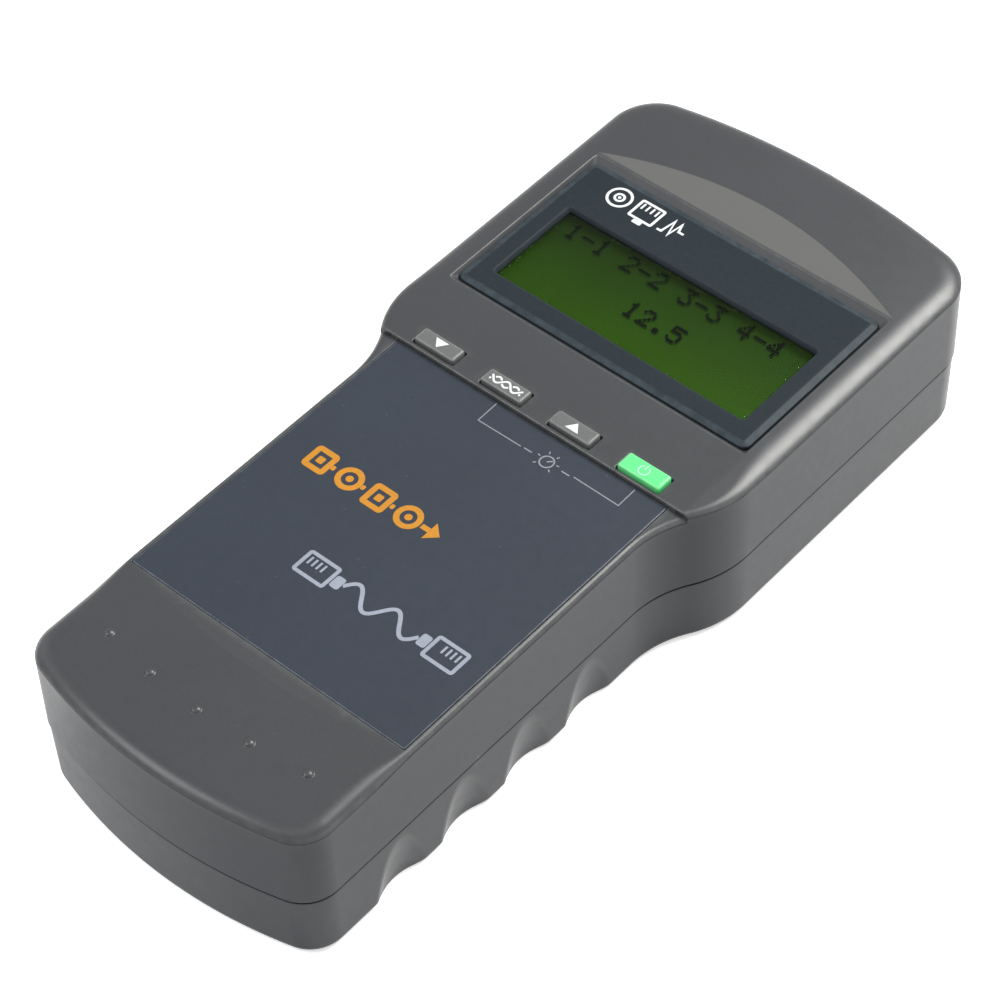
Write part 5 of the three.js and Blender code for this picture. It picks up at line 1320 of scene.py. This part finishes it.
# ------------------------------------------------------------------ cells
def build_cell(i):
    x = (i - 1.5) * CELL_PITCH
    up = i % 2 == 0
    y0 = 17.9 if up else 63.1
    s = 1 if up else -1
    prof = [(0.0, 0.25), (3.2, 0.25), (3.6, 0.0), (5.9, 0.0), (6.3, 0.12), (6.45, 0.4), (6.7, 0.45), (6.95, 0.6), (7.08, 0.9), (7.1, 1.4), (7.1, 12.8), (7.1, 13.0), (7.1, 30.0),
            (7.1, CELL_BODY - 1.4), (7.06, CELL_BODY - 0.9), (6.9, CELL_BODY - 0.6), (6.6, CELL_BODY - 0.48), (6.4, CELL_BODY - 0.5), (6.2, CELL_BODY - 0.8), (5.0, CELL_BODY - 0.75), (3.4, CELL_BODY - 0.35), (2.8, CELL_BODY - 0.1), (2.66, CELL_BODY + 0.5), (2.6, CELL_BODY + 1.0), (2.4, CELL_BODY + 1.15), (0.0, CELL_BODY + 1.2)]
    n = 56
    verts, faces, mats = [], [], []
    for r, h in prof[1:-1]:
        for k in range(n):
            a = 2 * math.pi * k / n
            verts.append((x + r * math.cos(a), y0 + s * h, CELL_Z + r * math.sin(a)))
    m = len(prof) - 2
    for j in range(m - 1):
        for k in range(n):
            q = (j * n + k, j * n + (k + 1) % n, (j + 1) * n + (k + 1) % n, (j + 1) * n + k)
            faces.append(q if s < 0 else q[::-1])
            h = prof[j + 1][1]
            mats.append(2 if 13.0 > h >= 0.45 else (1 if 13.0 <= h < CELL_BODY - 0.55 else 0))
    b = len(verts)
    verts += [(x, y0 + s * prof[0][1], CELL_Z), (x, y0 + s * prof[-1][1], CELL_Z)]
    for k in range(n):
        t = (b, (k + 1) % n, k)
        faces.append(t if s < 0 else t[::-1]); mats.append(0)
        t = (b + 1, (m - 1) * n + k, (m - 1) * n + (k + 1) % n)
        faces.append(t if s < 0 else t[::-1]); mats.append(0)
    ob = make("battery_cell_%d_body" % (i + 1), verts, faces)
    ob.data.polygons.foreach_set("material_index", mats)
    return ob


for i in range(4):
    c = build_cell(i)
    put(c, "case", [M_STEEL, M_JACKET, M_JACKET2], ["battery_cell_%d" % (i + 1)], angle=40)


# ------------------------------------------------------------------ finishes of the CAD nodes that stay
KEEP = {
    "lcd_frame": M_CAN, "lcd_backlight": M_DIFF, "lcd_board": M_BOARD, "lcd_header": M_BLACK, "main_board": M_BOARD,
    "switch_down": M_BLACK, "switch_select": M_BLACK, "switch_up": M_BLACK, "switch_power": M_BLACK,
    "contact_negative": M_STEEL, "contact_link_1": M_STEEL, "contact_link_2": M_STEEL, "contact_link_3": M_STEEL, "contact_positive": M_STEEL,
    "battery_lead_red": M_LEAD_R, "battery_lead_black": M_LEAD_K, "buzzer": M_BLACK,
    "controller_chip": M_BLACK, "switch_chip_left": M_BLACK, "switch_chip_right": M_BLACK, "crystal": M_STEEL, "capacitor": M_SLEEVE,
}
for k in range(1, 5):
    KEEP["board_screw_%d" % k] = M_STEEL
for name, m in KEEP.items():
    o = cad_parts[name]
    o.data.materials.clear()
    o.data.materials.append(m)
left = [n for n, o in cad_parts.items() if not o.hide_render and n not in KEEP]
if left:
    raise RuntimeError("CAD nodes with no finish: " + ", ".join(left))


# ------------------------------------------------------------------ floor, light, camera
def floor_material():
    m, nt, bsdf, out = nodes_of("floor_white")
    N, L = nt.nodes, nt.links
    co = N.new("ShaderNodeTexCoord"); no = N.new("ShaderNodeTexNoise"); no.inputs["Scale"].default_value = 3
    L.new(co.outputs["Object"], no.inputs["Vector"])
    rp = N.new("ShaderNodeValToRGB"); rp.color_ramp.elements[0].color, rp.color_ramp.elements[1].color = (0.90, 0.90, 0.90, 1), (0.93, 0.93, 0.93, 1)
    L.new(no.outputs["Fac"], rp.inputs["Fac"]); L.new(rp.outputs["Color"], bsdf.inputs["Base Color"])
    bsdf.inputs["Roughness"].default_value = 0.9
    bsdf.inputs["Specular IOR Level"].default_value = 0.1
    L.new(rp.outputs["Color"], bsdf.inputs["Emission Color"])
    bsdf.inputs["Emission Strength"].default_value = 0.56
    return m


S = 3.0
floor = make("studio_floor", [(-S, -S, -0.0003), (S, -S, -0.0003), (S, S, -0.0003), (-S, S, -0.0003)], [(0, 1, 2, 3)])
floor.data.materials.append(floor_material())

world = bpy.data.worlds.new("studio_world")
world.use_nodes = True
bg = world.node_tree.nodes["Background"]
bg.inputs[0].default_value = (1.0, 1.0, 1.0, 1)
bg.inputs[1].default_value = 0.5
SCENE.world = world


def softbox(name, az, el, dist, size, power, colour=(1, 1, 1), size_y=None):
    a, e = math.radians(az), math.radians(el)
    pos = Vector((dist * math.cos(e) * math.cos(a), dist * math.cos(e) * math.sin(a), dist * math.sin(e)))
    li = bpy.data.lights.new(name, "AREA")
    li.shape = "RECTANGLE"
    li.size, li.size_y = size, size_y or size
    li.energy = power
    li.color = colour
    ob = bpy.data.objects.new(name, li)
    SCENE.collection.objects.link(ob)
    ob.location = pos
    ob.rotation_euler = (Vector((0, 0, 0.02)) - pos).to_track_quat("-Z", "Y").to_euler()
    return ob


softbox("soft_above", -50, 76, 1.0, 0.6, 1.2)
softbox("soft_back", 70, 50, 0.9, 0.4, 9.8, (1.0, 0.985, 0.95))
softbox("soft_left", 185, 30, 1.1, 0.6, 1.0)
softbox("soft_right", 12, 28, 1.1, 0.5, 0.8)
softbox("soft_front_left", -128, 48, 1.1, 0.45, 4.2, (0.97, 0.985, 1.0))

cam_data = bpy.data.cameras.new("view_camera")
cam_data.sensor_width = 36.0
cam_data.lens = 122.3315
cam_data.clip_start, cam_data.clip_end = 0.05, 20
cam = bpy.data.objects.new("view_camera", cam_data)
SCENE.collection.objects.link(cam)
right = Vector((0.75431, 0.65600, -0.02628)); upv = Vector((-0.48087, 0.57930, 0.65816)); back = Vector((0.44698, -0.48382, 0.75242))
cam.matrix_world = Matrix(((right.x, upv.x, back.x, 0.274704), (right.y, upv.y, back.y, -0.298680), (right.z, upv.z, back.z, 0.482290), (0, 0, 0, 1)))
SCENE.camera = cam
SCENE.view_settings.view_transform = "Standard"
SCENE.view_settings.look = "None"
